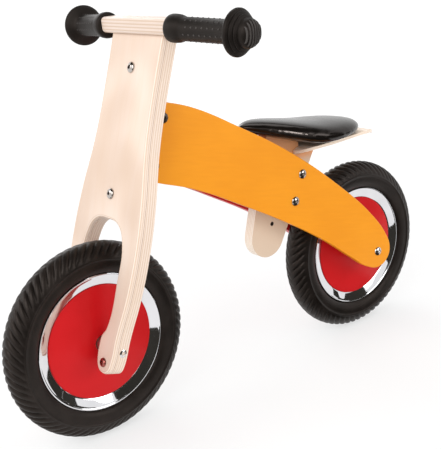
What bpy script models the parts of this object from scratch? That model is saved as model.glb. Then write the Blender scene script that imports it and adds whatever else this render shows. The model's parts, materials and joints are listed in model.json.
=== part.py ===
# Wooden balance bike: plywood fork turning on a raked pin, two plywood beams, two 12 inch wheels.
# Metres, +Z up, +X forward, +Y the bike's left. The origin is on the ground midway between the axles.
import bpy
import bmesh
import math
from mathutils import Matrix, Vector

# ---- driving dimensions -----------------------------------------------------------------
GAP = 0.0003                # clearance between pieces that touch

WHEELBASE = 0.547
TYRE_R = 0.152              # outside radius of the tyre, which is also the axle height
TYRE_HALF_W = 0.0240
TREAD_T = 0.0050            # rubber under the tread
CASING_T = 0.0032           # rubber in the side walls
BEAD_SEAT_R = 0.1015        # 203 mm bead seat of a 12 inch rim
RIM_FLANGE_H = 0.0048       # the rolled flange stands above the bead seat
RIM_HALF_W = 0.0175         # to the outside of the rolled flange
RIM_WELL = 0.0143           # the rim's bed lies below the bead seat
RIM_BED_HALF_W = 0.0110
RIM_T = 0.0018
TUBE_CLEAR = 0.0015         # inner tube, pumped up, to the casing under the tread
TUBE_SIDE_CLEAR = 0.0043    # and to its side walls
TUBE_RISE = 0.0062          # inner side of the tube above the rim's flange
TUBE_WALL = 0.0020
VALVE_R = 0.0040
VALVE_BORE_R = 0.0012
DISC_IN = 0.0130            # edge of the disc below the bead seat
DISC_T = 0.0015
DISC_EDGE_Y = 0.0128        # outer face of the disc at its rim
DISC_HUB_Y = 0.0195         # outer face of the disc at the hub
HUB_HALF_W = 0.0192
HUB_R = 0.0190
BEARING_R = 0.0140
BEARING_W = 0.0080
AXLE_R = 0.0060
AXLE_BOLT_R = 0.0040
AXLE_TAP_DEPTH = 0.0140     # tapped hole in each end of the axle
SPACER_R = 0.0120

RAKE = math.radians(18.9)   # steering axis and fork, from the vertical
FORK_BACK_T = 0.0170        # back board, centred on the axle
FORK_FRONT_T = 0.0077       # facing board
FORK_TOP_HALF_W = 0.0650
FORK_FLARE_HALF_W = 0.0868
FORK_STRAIGHT_S = 0.3450    # where the narrow neck starts to flare, above the axle
FORK_FLARE_S = 0.1550       # widest place
ARCH_TOP_S = 0.1835         # top of the wheel arch
ARCH_HALF_W = 0.0500
FOOT_R = 0.0197             # rounded foot of each leg
FOOT_Y = 0.0518
FOOT_S = -0.0165
FOOT_BOLT_S = -0.0195
FORK_BOLT_HIGH_S = 0.4045
FORK_BOLT_LOW_S = 0.2206
EASE = 0.0015               # eased edges of the boards

PIVOT_SET = 0.0260          # steering axis behind the fork's back face
HEAD_SET = 0.0145           # front edge of the beams behind the fork's back face
HEAD_TOP_S = 0.3647
HEAD_BOTTOM_S = 0.2476
PIVOT_R = 0.0040
BUSH_R = 0.0065
BUSH_FLANGE_R = 0.0100
BUSH_FLANGE_T = 0.0020
BUSH_L = 0.0180
BRACKET_T = 0.0030
BRACKET_W = 0.0240
STEER_LIMIT = 30.0          # degrees each way

BEAM_T = 0.0150
BEAM_DEPTH = 0.1045         # deepest place, between its upper and lower edge
BEAM_REAR_Y = 0.0670        # outer face at the rear axle
BEAM_SPLAY = math.atan(0.088)   # each beam closes in towards the head by this angle
HEAD_DEPTH = 0.0480         # head block, front to back
HEAD_CORNER = 0.0060
HEAD_SCREW_N = -0.0310      # head screws, ahead of the axle square to the fork
HEAD_SCREW_IN = 0.0230      # in from each end of the head
HEAD_SCREW_BITE = 0.0055
SCREW_HEAD_R = 0.0080
SCREW_HEAD_H = 0.0042
SCREW_R = 0.0030
SOCKET_R = 0.0022
SOCKET_DEPTH = 0.0020

SEAT_LEAN = math.radians(22.4)
SEAT_HOLE_PITCH = 0.0458
SEAT_BOLT_X = 0.1585        # upper seat bolt, ahead of and above the rear axle
SEAT_BOLT_Z = 0.1755
POST_T = 0.0190
POST_END_R = 0.0350
POST_REAR_LEAN = 31.7       # degrees back from the vertical
POST_FRONT_LEAN = 15.4
HORN_FRONT = 0.0351         # top front corner of the plank, ahead of and above the upper bolt
HORN_TOP = 0.0625
BOARD_T = 0.0080
HORN_BACK = -0.0338         # back of the horn, which the seat board is notched round
BOARD_FRONT = -0.0215       # front end of the seat board, ahead of the upper bolt
BOARD_L = 0.1870
BOARD_HALF_W = 0.0480
BOARD_RISE = 0.0385         # highest place of the board's top, above the upper bolt
SADDLE_NOSE = 0.0815        # tip of the saddle, ahead of the upper bolt
SADDLE_L = 0.2485
SADDLE_HALF_W = 0.0712
SADDLE_RISE = 0.0927        # highest place of the saddle, above the upper bolt
POST_END_AHEAD = 0.0455     # centre of the plank's round lower end, from the upper bolt
POST_END_BELOW = 0.1050
POST_TOP_REAR = -0.0709
SEAT_SCREW_HEAD_R = 0.0040
SEAT_SCREW_R = 0.0019
SEAT_SCREW_L = 0.0310
GUIDE_HALF_W = 0.0200
GUIDE_LOW = 0.0680          # ends of the guides, below and above the upper bolt
GUIDE_HIGH = 0.0120

BAR_H = 0.0232
BAR_DEPTH = 0.0300
BAR_BOTTOM_Z = 0.5849
BAR_OVERHANG = 0.0068       # front face of the bar, ahead of the fork's top edge
BAR_NOSE_R = 0.0060
BAR_DOWEL_Y = 0.0300
BAR_DOWEL_R = 0.0040
BAR_DOWEL_L = 0.0360        # half of it in the bar and half in the fork
DOWEL_END_CLEAR = 0.0005    # bottom of the hole to the end of the dowel
GRIP_SWEEP = math.radians(12.0)
GRIP_DROOP = math.radians(3.0)
GRIP_START_Y = 0.0790
GRIP_SET_BACK = 0.0112      # axis at the grip's inner end, behind the bar's front face
GRIP_RISE = 0.0101          # and above the bar's underside
GRIP_TUBE_R = 0.0162
GRIP_COLLAR_R = 0.0195
GRIP_FLANGE_R = 0.0315
GRIP_FLANGE_AT = 0.1160     # middle of the safety flange along the grip
GRIP_CAP_R = 0.0195
GRIP_L = 0.1450
TENON_R = 0.0100
TENON_L = 0.1000
# -----------------------------------------------------------------------------------------

REAR_X = -WHEELBASE / 2
FRONT_X = WHEELBASE / 2
RIM_FLANGE_R = BEAD_SEAT_R + RIM_FLANGE_H
RIM_BED_R = BEAD_SEAT_R - RIM_WELL
DISC_R = BEAD_SEAT_R - DISC_IN
TUBE_HALF_H = (TYRE_R - TREAD_T - TUBE_CLEAR - RIM_FLANGE_R - TUBE_RISE) / 2
TUBE_HALF_W = TYRE_HALF_W - CASING_T - TUBE_SIDE_CLEAR
FORK_BACK_N = -FORK_BACK_T / 2                  # faces of the boards, ahead of the axle
FORK_SPLIT_N = FORK_BACK_T / 2 + GAP
FORK_FRONT_N = FORK_SPLIT_N + FORK_FRONT_T
PIVOT_N = FORK_BACK_N - PIVOT_SET
SPLAY_TAN = math.tan(BEAM_SPLAY)

for old in list(bpy.data.objects):
    bpy.data.objects.remove(old, do_unlink=True)
parts = bpy.data.collections.new("balance_bike")
cutters = bpy.data.collections.new("cutters")
bpy.context.scene.collection.children.link(parts)
bpy.context.scene.collection.children.link(cutters)


def material(name, colour, roughness, metallic=0.0):
    mat = bpy.data.materials.new(name)
    mat.use_nodes = True
    shader = mat.node_tree.nodes["Principled BSDF"]
    shader.inputs["Base Color"].default_value = (*colour, 1.0)
    shader.inputs["Roughness"].default_value = roughness
    shader.inputs["Metallic"].default_value = metallic
    return mat


BIRCH = material("birch_plywood", (0.87, 0.74, 0.58), 0.5)
ORANGE = material("orange_paint", (0.90, 0.36, 0.03), 0.35)
RED = material("red_paint", (0.62, 0.015, 0.02), 0.3)
RUBBER = material("tyre_rubber", (0.025, 0.022, 0.02), 0.75)
GRIP_RUBBER = material("grip_rubber", (0.03, 0.028, 0.028), 0.6)
VINYL = material("saddle_vinyl", (0.02, 0.018, 0.017), 0.25)
CHROME = material("chrome", (0.85, 0.85, 0.86), 0.08, 1.0)
STEEL = material("zinc_steel", (0.55, 0.54, 0.50), 0.35, 1.0)
NYLON = material("nylon", (0.75, 0.73, 0.68), 0.5)


def pivot(name, location, rotation=(0.0, 0.0, 0.0), parent=None):
    empty = bpy.data.objects.new(name, None)
    empty.location = location
    empty.rotation_euler = rotation
    empty.parent = parent
    parts.objects.link(empty)
    return empty


def keep(obj, name, mat, parent=None, location=(0.0, 0.0, 0.0), rotation=(0.0, 0.0, 0.0)):
    """Name a new object, give it its finish and its place, and put it with the parts."""
    obj.name = name
    obj.data.name = name
    obj.data.materials.clear()
    obj.data.materials.append(mat)
    for owner in list(obj.users_collection):
        owner.objects.unlink(obj)
    parts.objects.link(obj)
    obj.parent = parent
    obj.location = location
    obj.rotation_euler = rotation
    return obj


def cut(obj, cutter, operation="DIFFERENCE"):
    """Cut or join with a closed mesh, which is then only a guide."""
    for owner in list(cutter.users_collection):
        owner.objects.unlink(cutter)
    cutters.objects.link(cutter)
    cutter.hide_render = True
    cutter.display_type = "WIRE"
    boolean = obj.modifiers.new("cut", "BOOLEAN")
    boolean.operation = operation
    boolean.solver = "EXACT"
    boolean.object = cutter
    return obj


def rod(radius, depth, location, rotation=(0.0, 0.0, 0.0), parent=None, sides=16):
    """A cylinder along its own Z, used as a cutter or as stock."""
    bpy.ops.mesh.primitive_cylinder_add(vertices=sides, radius=radius, depth=depth)
    obj = bpy.context.object
    obj.parent = parent
    obj.location = location
    obj.rotation_euler = rotation
    return obj


def block(size, location, rotation=(0.0, 0.0, 0.0), parent=None, ease=0.0):
    bpy.ops.mesh.primitive_cube_add(size=1.0)
    obj = bpy.context.object
    obj.data.transform(Matrix.Diagonal((*size, 1.0)))
    obj.parent = parent
    obj.location = location
    obj.rotation_euler = rotation
    if ease:
        bevel = obj.modifiers.new("ease", "BEVEL")
        bevel.width = ease
        bevel.segments = 1
    return obj


def turned(profile, steps, closed):
    """A profile of (radius, height) points turned round Z, running down its outer side."""
    mesh = bpy.data.meshes.new("turned")
    edges = [(i, i + 1) for i in range(len(profile) - 1)]
    if closed:
        edges.append((len(profile) - 1, 0))
    mesh.from_pydata([(r, 0.0, h) for r, h in profile], edges, [])
    obj = bpy.data.objects.new("turned", mesh)
    screw = obj.modifiers.new("turn", "SCREW")
    screw.steps = steps
    screw.render_steps = steps
    screw.use_merge_vertices = True
    screw.merge_threshold = 0.00001
    parts.objects.link(obj)
    return obj


def board(outline, thickness, ease=EASE, smooth_steps=2):
    """A flat board from a smooth closed outline, in its own XY plane and centred on it.

    The outline holds (x, y, kind), where kind is AUTO for a smooth point and VECTOR for a corner.
    """
    curve = bpy.data.curves.new("outline", "CURVE")
    curve.dimensions = "2D"
    curve.fill_mode = "BOTH"
    curve.extrude = thickness / 2
    curve.resolution_u = smooth_steps
    curve.render_resolution_u = 0
    spline = curve.splines.new("BEZIER")
    spline.bezier_points.add(len(outline) - 1)
    for point, (x, y, kind) in zip(spline.bezier_points, outline):
        point.co = (x, y, 0.0)
        point.handle_left_type = kind
        point.handle_right_type = kind
    spline.use_cyclic_u = True
    guide = bpy.data.objects.new("outline", curve)
    bpy.context.scene.collection.objects.link(guide)
    graph = bpy.context.evaluated_depsgraph_get()
    graph.update()
    mesh = bpy.data.meshes.new_from_object(guide.evaluated_get(graph), depsgraph=graph)
    bpy.data.objects.remove(guide, do_unlink=True)
    bm = bmesh.new()
    bm.from_mesh(mesh)
    bmesh.ops.remove_doubles(bm, verts=bm.verts, dist=0.00001)
    bmesh.ops.recalc_face_normals(bm, faces=bm.faces)
    bmesh.ops.dissolve_limit(bm, angle_limit=math.radians(0.5), verts=bm.verts, edges=bm.edges)
    bm.to_mesh(mesh)
    bm.free()
    obj = bpy.data.objects.new("board", mesh)
    if ease:
        bevel = obj.modifiers.new("ease", "BEVEL")
        bevel.width = ease
        bevel.segments = 1
        bevel.angle_limit = math.radians(60)
        bevel.harden_normals = False
    parts.objects.link(obj)
    return obj


def dome_profile(head_r, head_h, shank_r, shank_l):
    """Domed head above z = 0 with its seat on z = 0, and the shank below, with a socket on top."""
    rise = [(head_r * math.cos(a), head_h * math.sin(a)) for a in map(math.radians, (30, 62))]
    top = [(SOCKET_R, head_h * 0.97), (SOCKET_R * 0.9, head_h - SOCKET_DEPTH), (0.0, head_h - SOCKET_DEPTH)]
    profile = top[::-1] + rise[::-1] + [(head_r, 0.0), (shank_r, 0.0)]
    return profile + [(shank_r, -shank_l), (0.0, -shank_l)]


def bolt(name, length, location, rotation, parent=None, shank_r=SCREW_R, mat=CHROME, head_r=SCREW_HEAD_R):
    obj = turned(dome_profile(head_r, SCREW_HEAD_H, shank_r, length), 12, closed=False)
    return keep(obj, name, mat, parent, location, rotation)


def cap_nut(name, radius, height, bore_r, depth, location, rotation, parent=None, mat=CHROME):
    """A domed nut with a blind bore; its seat is on z = 0 and its dome above."""
    rise = [(radius * math.cos(a), height * math.sin(a)) for a in map(math.radians, (65, 35))]
    profile = [(0.0, height)] + rise + [(radius, 0.0), (bore_r, 0.0), (bore_r, depth), (0.0, depth)]
    return keep(turned(profile, 12, closed=False), name, mat, parent, location, rotation)


# Turning Z to the bike's left, to its right, and forward.
TO_LEFT = (math.radians(-90), 0.0, 0.0)
TO_RIGHT = (math.radians(90), 0.0, 0.0)
TO_FRONT = (0.0, math.radians(90), 0.0)
TO_BACK = (0.0, math.radians(-90), 0.0)


def fork_place(n, s):
    """World X and Z of a point n ahead of the axle and s up the fork."""
    x = FRONT_X + n * math.cos(RAKE) - s * math.sin(RAKE)
    z = TYRE_R + n * math.sin(RAKE) + s * math.cos(RAKE)
    return x, z


# ---- steering: everything on this empty turns about its Z -------------------------------
steer_x, steer_z = fork_place(PIVOT_N, 0.0)
steering = pivot("steering_axis", (steer_x, 0.0, steer_z), (0.0, -RAKE, 0.0))


def local_n(n):
    return n - PIVOT_N


def fork_outline():
    """Half of the fork, from the top of the neck down the outside and back up to the arch."""
    top_s = (BAR_BOTTOM_Z - TYRE_R) / math.cos(RAKE) + 0.02
    flare = FORK_FLARE_HALF_W - FORK_TOP_HALF_W
    span = FORK_STRAIGHT_S - FORK_FLARE_S
    foot_in = FOOT_Y - FOOT_R
    half = [
        (FORK_TOP_HALF_W, top_s, "VECTOR"),
        (FORK_TOP_HALF_W, FORK_STRAIGHT_S, "AUTO"),
        (FORK_TOP_HALF_W + 0.18 * flare, FORK_STRAIGHT_S - 0.28 * span, "AUTO"),
        (FORK_TOP_HALF_W + 0.77 * flare, FORK_STRAIGHT_S - 0.68 * span, "AUTO"),
        (FORK_FLARE_HALF_W, FORK_FLARE_S, "AUTO"),
        (FORK_FLARE_HALF_W - 0.0022, 0.55 * FORK_FLARE_S, "AUTO"),
        (FOOT_Y + FOOT_R + 0.0030, 0.13 * FORK_FLARE_S, "AUTO"),
        (FOOT_Y + FOOT_R, FOOT_S, "AUTO"),
        (FOOT_Y + 0.71 * FOOT_R, FOOT_S - 0.71 * FOOT_R, "AUTO"),
        (FOOT_Y, FOOT_S - FOOT_R, "AUTO"),
        (FOOT_Y - 0.71 * FOOT_R, FOOT_S - 0.71 * FOOT_R, "AUTO"),
        (foot_in, FOOT_S, "AUTO"),
        (foot_in, FOOT_S + 0.0240, "AUTO"),
        (foot_in + 0.0015, FOOT_S + 0.0325, "AUTO"),
        (foot_in + 0.0112, FOOT_S + 0.0465, "AUTO"),
        (ARCH_HALF_W, 0.65 * FORK_FLARE_S, "AUTO"),
        (ARCH_HALF_W - 0.0030, ARCH_TOP_S - 0.0300, "AUTO"),
        (0.62 * ARCH_HALF_W, ARCH_TOP_S - 0.0060, "AUTO"),
    ]
    mirrored = [(-y, s, kind) for y, s, kind in reversed(half)]
    return half + [(0.0, ARCH_TOP_S, "AUTO")] + mirrored


def fork_board(name, low_n, high_n, ease):
    """A board between two distances ahead of the axle, with the holes that all layers share."""
    obj = board(fork_outline(), high_n - low_n, ease)
    # The outline's X is the bike's left and its Y goes up the fork.
    turn = Matrix(((0, 0, 1, 0), (1, 0, 0, 0), (0, 1, 0, 0), (0, 0, 0, 1)))
    obj.data.transform(turn)
    keep(obj, name, BIRCH, steering, (local_n((low_n + high_n) / 2), 0.0, 0.0))
    for s in (FORK_BOLT_HIGH_S, FORK_BOLT_LOW_S):
        cut(obj, rod(SCREW_R + GAP, 0.06, (local_n(0.0), 0.0, s), TO_FRONT, steering, 12))
    for side in (1, -1):
        cut(obj, rod(SCREW_R + GAP, 0.06, (local_n(0.0), side * FOOT_Y, FOOT_BOLT_S), TO_FRONT, steering, 12))
    roof = (FRONT_X, 0.0, BAR_BOTTOM_Z - GAP + 0.05)
    cut(obj, block((0.4, 0.4, 0.1), roof))
    return obj


fork_front = fork_board("fork_front_board", FORK_SPLIT_N, FORK_FRONT_N, EASE)
fork_back = fork_board("fork_back_board", FORK_BACK_N, FORK_BACK_N + FORK_BACK_T, 0.0)

# Steel bracket on the back of the fork: a flat strip with two ears that hold the pivot bolt.
strip_low = FORK_BOLT_LOW_S - 0.5 * BRACKET_W
strip_high = FORK_BOLT_HIGH_S + 0.5 * BRACKET_W
strip_x = local_n(FORK_BACK_N) - GAP - BRACKET_T / 2
bracket = block((BRACKET_T, BRACKET_W, strip_high - strip_low), (0.0, 0.0, 0.0))
keep(bracket, "steering_bracket", STEEL, steering, (strip_x, 0.0, (strip_low + strip_high) / 2))
ear_low = HEAD_BOTTOM_S - BUSH_FLANGE_T - GAP - BRACKET_T / 2
ear_high = HEAD_TOP_S + BUSH_FLANGE_T + GAP + BRACKET_T / 2
for s in (ear_low, ear_high):
    cut(bracket, block((strip_x, BRACKET_W * 0.92, BRACKET_T), (strip_x / 2, 0.0, s), parent=steering), "UNION")
    cut(bracket, rod(BRACKET_W * 0.46, BRACKET_T, (0.0, 0.0, s), parent=steering, sides=20), "UNION")
for s in (FORK_BOLT_LOW_S, FORK_BOLT_HIGH_S):
    cut(bracket, rod(SCREW_R + GAP, 0.02, (strip_x, 0.0, s), TO_FRONT, steering, 12))
cut(bracket, rod(PIVOT_R + GAP, 0.3, (0.0, 0.0, (ear_low + ear_high) / 2), parent=steering, sides=16))

# Bolts through the fork into tapped holes in the bracket.
for name, s in (("upper_fork_bolt", FORK_BOLT_HIGH_S), ("lower_fork_bolt", FORK_BOLT_LOW_S)):
    length = FORK_FRONT_N - FORK_BACK_N + BRACKET_T + 0.0055
    bolt(name, length, (local_n(FORK_FRONT_N) + GAP, 0.0, s), TO_FRONT, steering)
for name, side in (("left", 1), ("right", -1)):
    bolt(name + "_foot_bolt", FORK_FRONT_N - FORK_BACK_N - 0.002,
         (local_n(FORK_FRONT_N) + GAP, side * FOOT_Y, FOOT_BOLT_S), TO_FRONT, steering, head_r=0.0070)

# Handlebar: a rounded plywood bar with two round tenons for the grips, set down on the fork.
top_s = (BAR_BOTTOM_Z - TYRE_R - FORK_FRONT_N * math.sin(RAKE)) / math.cos(RAKE)
bar_front = fork_place(FORK_FRONT_N, top_s)[0] + BAR_OVERHANG
bar_x = bar_front - BAR_DEPTH / 2
bar_z = BAR_BOTTOM_Z + BAR_H / 2
to_steer = (Matrix.Translation((steer_x, 0.0, steer_z)) @ Matrix.Rotation(-RAKE, 4, "Y")).inverted()


def in_steering(point):
    return tuple(to_steer @ Vector(point))


handlebar = block((BAR_DEPTH, 2 * GRIP_START_Y + 0.02, BAR_H), (0.0, 0.0, 0.0))
soft = handlebar.modifiers.new("nose", "BEVEL")
soft.width = BAR_NOSE_R
soft.segments = 3
keep(handlebar, "handlebar", BIRCH, steering, in_steering((bar_x, 0.0, bar_z)), (0.0, RAKE, 0.0))
for side, name in ((1, "left_grip"), (-1, "right_grip")):
    start = Vector((bar_front - GRIP_SET_BACK, side * GRIP_START_Y, BAR_BOTTOM_Z + GRIP_RISE))
    tilt = -side * (math.radians(90) + GRIP_DROOP)
    world = Matrix.Rotation(side * GRIP_SWEEP, 4, "Z") @ Matrix.Rotation(tilt, 4, "X")
    along = world @ Vector((0.0, 0.0, 1.0))
    turn = world.to_euler()
    end_block = start + along * (0.05 - GAP)
    cut(handlebar, block((0.12, 0.12, 0.10), end_block, turn))
    middle = start + along * (TENON_L / 2 - 0.004)
    cut(handlebar, rod(TENON_R - GAP, TENON_L + 0.008, middle, turn, sides=20), "UNION")
    collar, tube, flange, cap = GRIP_COLLAR_R, GRIP_TUBE_R, GRIP_FLANGE_R, GRIP_CAP_R
    at = GRIP_FLANGE_AT
    profile = [
        (0.0, GRIP_L), (0.45 * cap, GRIP_L - 0.0006), (0.75 * cap, GRIP_L - 0.0030),
        (0.93 * cap, GRIP_L - 0.0062), (cap, GRIP_L - 0.0100), (cap, at + 0.0130),
        (0.75 * flange, at + 0.0115), (0.75 * flange, at + 0.0085), (0.87 * flange, at + 0.0070),
        (0.87 * flange, at + 0.0040), (flange, at + 0.0025), (flange, at - 0.0030),
        (0.75 * flange, at - 0.0065), (tube, at - 0.0080), (tube, 0.0250),
        (0.5 * (tube + collar), 0.0180), (collar, 0.0060),
        (0.84 * collar, 0.0), (TENON_R, 0.0), (TENON_R, TENON_L + 0.002), (0.0, TENON_L + 0.002),
    ]
    grip = keep(turned(profile, 20, closed=False), name, GRIP_RUBBER, steering, in_steering(start))
    grip.rotation_euler = (Matrix.Rotation(RAKE, 4, "Y") @ world).to_euler()

# Two dowels, glued into blind holes, hold the bar down on the fork's back board.
dowel_s = (BAR_BOTTOM_Z - BAR_DOWEL_L / 4 - TYRE_R) / math.cos(RAKE)
dowel_x = fork_place(0.0, dowel_s)[0]
chamfer = BAR_DOWEL_R / 4
for name, side in (("left", 1), ("right", -1)):
    profile = [
        (0.0, BAR_DOWEL_L), (BAR_DOWEL_R - chamfer, BAR_DOWEL_L), (BAR_DOWEL_R, BAR_DOWEL_L - chamfer),
        (BAR_DOWEL_R, chamfer), (BAR_DOWEL_R - chamfer, 0.0), (0.0, 0.0),
    ]
    low_end = in_steering((dowel_x, side * BAR_DOWEL_Y, BAR_BOTTOM_Z - BAR_DOWEL_L / 2))
    keep(turned(profile, 16, closed=False), name + "_handlebar_dowel", BIRCH, steering, low_end, (0.0, RAKE, 0.0))
    hole = (dowel_x, side * BAR_DOWEL_Y, BAR_BOTTOM_Z)
    for obj in (handlebar, fork_back):
        cut(obj, rod(BAR_DOWEL_R + GAP, BAR_DOWEL_L + 2 * DOWEL_END_CLEAR, hole, sides=16))

# Pivot bolt from above through both ears, with a locking nut below.
pivot_top = ear_high + BRACKET_T / 2 + GAP
pivot_low = ear_low - BRACKET_T / 2 - GAP
bolt("steering_pivot_bolt", pivot_top - pivot_low + 0.0078, (0.0, 0.0, pivot_top), (0.0, 0.0, 0.0),
     steering, shank_r=PIVOT_R, mat=STEEL, head_r=0.0085)
nut_h = 0.0065
nut_bore = (PIVOT_R + GAP) / math.cos(math.pi / 6)
profile = [(0.0075, 0.0), (0.0075, -nut_h), (nut_bore, -nut_h), (nut_bore, 0.0)]
keep(turned(profile, 6, closed=True), "steering_pivot_nut", STEEL, steering, (0.0, 0.0, pivot_low))

# ---- frame: two boards that close in towards the head ------------------------------------
head_high = fork_place(FORK_BACK_N - HEAD_SET, HEAD_TOP_S)
head_low = fork_place(FORK_BACK_N - HEAD_SET, HEAD_BOTTOM_S)
reach_x = (head_high[0] + head_low[0]) / 2 - REAR_X
reach_z = (head_high[1] + head_low[1]) / 2 - TYRE_R
REACH = math.hypot(reach_x, reach_z)
ALONG = Vector((reach_x / REACH, reach_z / REACH))


def beam_outer(x):
    """Y of the left beam's outer face, x ahead of the rear axle."""
    return BEAM_REAR_Y - SPLAY_TAN * x


def beam_inner(x):
    return BEAM_REAR_Y - BEAM_T / math.cos(BEAM_SPLAY) - SPLAY_TAN * x


def on_beam(u, v):
    """A point a share u along the line from axle to head and v beam depths above it, in the beam's plane."""
    x = ALONG.x * u * REACH - ALONG.y * v * BEAM_DEPTH
    z = ALONG.y * u * REACH + ALONG.x * v * BEAM_DEPTH
    return x / math.cos(BEAM_SPLAY), z


# Points from the head along the top, round the axle, and back along the underside.
beam_curve = [
    (0.930, 0.670), (0.745, 0.748), (0.524, 0.777), (0.302, 0.691), (0.097, 0.513),
    (-0.004, 0.329), (-0.044, 0.182), (-0.057, -0.010), (-0.039, -0.211), (0.013, -0.305),
    (0.091, -0.286), (0.240, -0.223), (0.424, -0.221), (0.602, -0.270), (0.811, -0.368),
    (0.928, -0.498),
]
nose_high = (head_high[0] - REAR_X) / math.cos(BEAM_SPLAY), head_high[1] - TYRE_R
nose_low = (head_low[0] - REAR_X) / math.cos(BEAM_SPLAY), head_low[1] - TYRE_R
edge = Vector(nose_low) - Vector(nose_high)
edge.normalize()


def beam_outline():
    last = on_beam(*beam_curve[-1])
    first = on_beam(*beam_curve[0])
    back_high = (Vector(first) - Vector(nose_high)).normalized()
    back_low = (Vector(last) - Vector(nose_low)).normalized()
    corners = [
        Vector(nose_low) + back_low * HEAD_CORNER,
        Vector(nose_low) + (back_low - edge) * 0.3 * HEAD_CORNER,
        Vector(nose_low) - edge * HEAD_CORNER,
        Vector(nose_high) + edge * HEAD_CORNER,
        Vector(nose_high) + (back_high + edge) * 0.3 * HEAD_CORNER,
        Vector(nose_high) + back_high * HEAD_CORNER,
    ]
    smooth = [(*on_beam(u, v), "AUTO") for u, v in beam_curve]
    return smooth + [(c.x, c.y, "VECTOR") for c in corners]


UPRIGHT = Matrix.Rotation(math.radians(90), 4, "X")
rear = Vector((REAR_X, 0.0, TYRE_R))
beams = {}
for name, side, mat in (("left_beam", 1, ORANGE), ("right_beam", -1, RED)):
    obj = board(beam_outline(), BEAM_T)
    obj.data.transform(UPRIGHT)
    middle = BEAM_REAR_Y - BEAM_T / (2 * math.cos(BEAM_SPLAY))
    keep(obj, name, mat, None, (REAR_X, side * middle, TYRE_R), (0.0, 0.0, -side * BEAM_SPLAY))
    beams[side] = obj


def prism(outline, low, high, name, mat):
    """A block with a flat outline of (x, z) ahead of and above the rear axle, between two Y faces."""
    bm = bmesh.new()
    near = [bm.verts.new((REAR_X + x, low(x), TYRE_R + z)) for x, z in outline]
    far = [bm.verts.new((REAR_X + x, high(x), TYRE_R + z)) for x, z in outline]
    bm.faces.new(near)
    bm.faces.new(far)
    count = len(outline)
    for i in range(count):
        j = (i + 1) % count
        bm.faces.new((near[i], near[j], far[j], far[i]))
    bmesh.ops.recalc_face_normals(bm, faces=bm.faces)
    mesh = bpy.data.meshes.new(name)
    bm.to_mesh(mesh)
    bm.free()
    obj = bpy.data.objects.new(name, mesh)
    parts.objects.link(obj)
    return keep(obj, name, mat)


def ahead(n, s):
    x, z = fork_place(n, s)
    return x - REAR_X, z - TYRE_R


front_n = FORK_BACK_N - HEAD_SET
head_outline = [
    ahead(front_n, HEAD_BOTTOM_S + 0.0015), ahead(front_n, HEAD_TOP_S - 0.0015),
    ahead(front_n - HEAD_DEPTH, HEAD_TOP_S - 0.0040), ahead(front_n - HEAD_DEPTH, HEAD_BOTTOM_S + 0.0040),
]
head = prism(head_outline, lambda x: GAP - beam_inner(x), lambda x: beam_inner(x) - GAP, "head_block", BIRCH)
steer_turn = (0.0, -RAKE, 0.0)
bore_x, bore_z = fork_place(PIVOT_N, (HEAD_TOP_S + HEAD_BOTTOM_S) / 2)
cut(head, rod(PIVOT_R + 0.001, 0.2, (bore_x, 0.0, bore_z), steer_turn, sides=16))
RUNNING = PIVOT_R / math.cos(math.pi / 16) + 0.00005
bushes = (
    ("upper_pivot_bush", HEAD_TOP_S - 0.0015, 0.0),
    ("lower_pivot_bush", HEAD_BOTTOM_S + 0.0015, math.pi),
)
for name, s, turn in bushes:
    x, z = fork_place(PIVOT_N, s)
    sign = 1 if turn == 0.0 else -1
    flange_x, flange_z = fork_place(PIVOT_N, s + sign * GAP)
    profile = [
        (RUNNING, BUSH_FLANGE_T), (BUSH_FLANGE_R, BUSH_FLANGE_T), (BUSH_FLANGE_R, 0.0),
        (BUSH_R, 0.0), (BUSH_R, -BUSH_L), (RUNNING, -BUSH_L),
    ]
    keep(turned(profile, 16, closed=True), name, NYLON, None, (flange_x, 0.0, flange_z), (turn, -RAKE, 0.0))
    cut(head, rod(BUSH_R + GAP, 2 * BUSH_L + 0.002, (x, 0.0, z), steer_turn, sides=16))

# Short screws hold the head block between the beams.
for side, side_name in ((1, "left"), (-1, "right")):
    for level, s in (("upper", HEAD_TOP_S - HEAD_SCREW_IN), ("lower", HEAD_BOTTOM_S + HEAD_SCREW_IN)):
        x, z = fork_place(HEAD_SCREW_N, s)
        turn = (-side * math.radians(90), 0.0, -side * BEAM_SPLAY)
        out = Vector((math.sin(BEAM_SPLAY), side * math.cos(BEAM_SPLAY), 0.0))
        seat = Vector((x, side * beam_outer(x - REAR_X), z)) + out * GAP
        bolt(f"{side_name}_{level}_head_screw", BEAM_T + HEAD_SCREW_BITE, seat, turn, mat=STEEL)
        cut(beams[side], rod(SCREW_R + GAP, 0.042, seat, turn, sides=12))
        cut(head, rod(SCREW_R + GAP, 2 * (BEAM_T + HEAD_SCREW_BITE + 0.001), seat, turn, sides=12))

# ---- seat: a plank between the beams, bolted through two of its three holes --------------
SEAT_AHEAD = Vector((SEAT_BOLT_X, SEAT_BOLT_Z))


def arc(centre, radius, start, end, count):
    """Corner points of a circular arc, angles in degrees."""
    points = []
    for i in range(count):
        angle = math.radians(start + (end - start) * i / (count - 1))
        points.append((centre[0] + radius * math.cos(angle), centre[1] + radius * math.sin(angle)))
    return points


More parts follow.
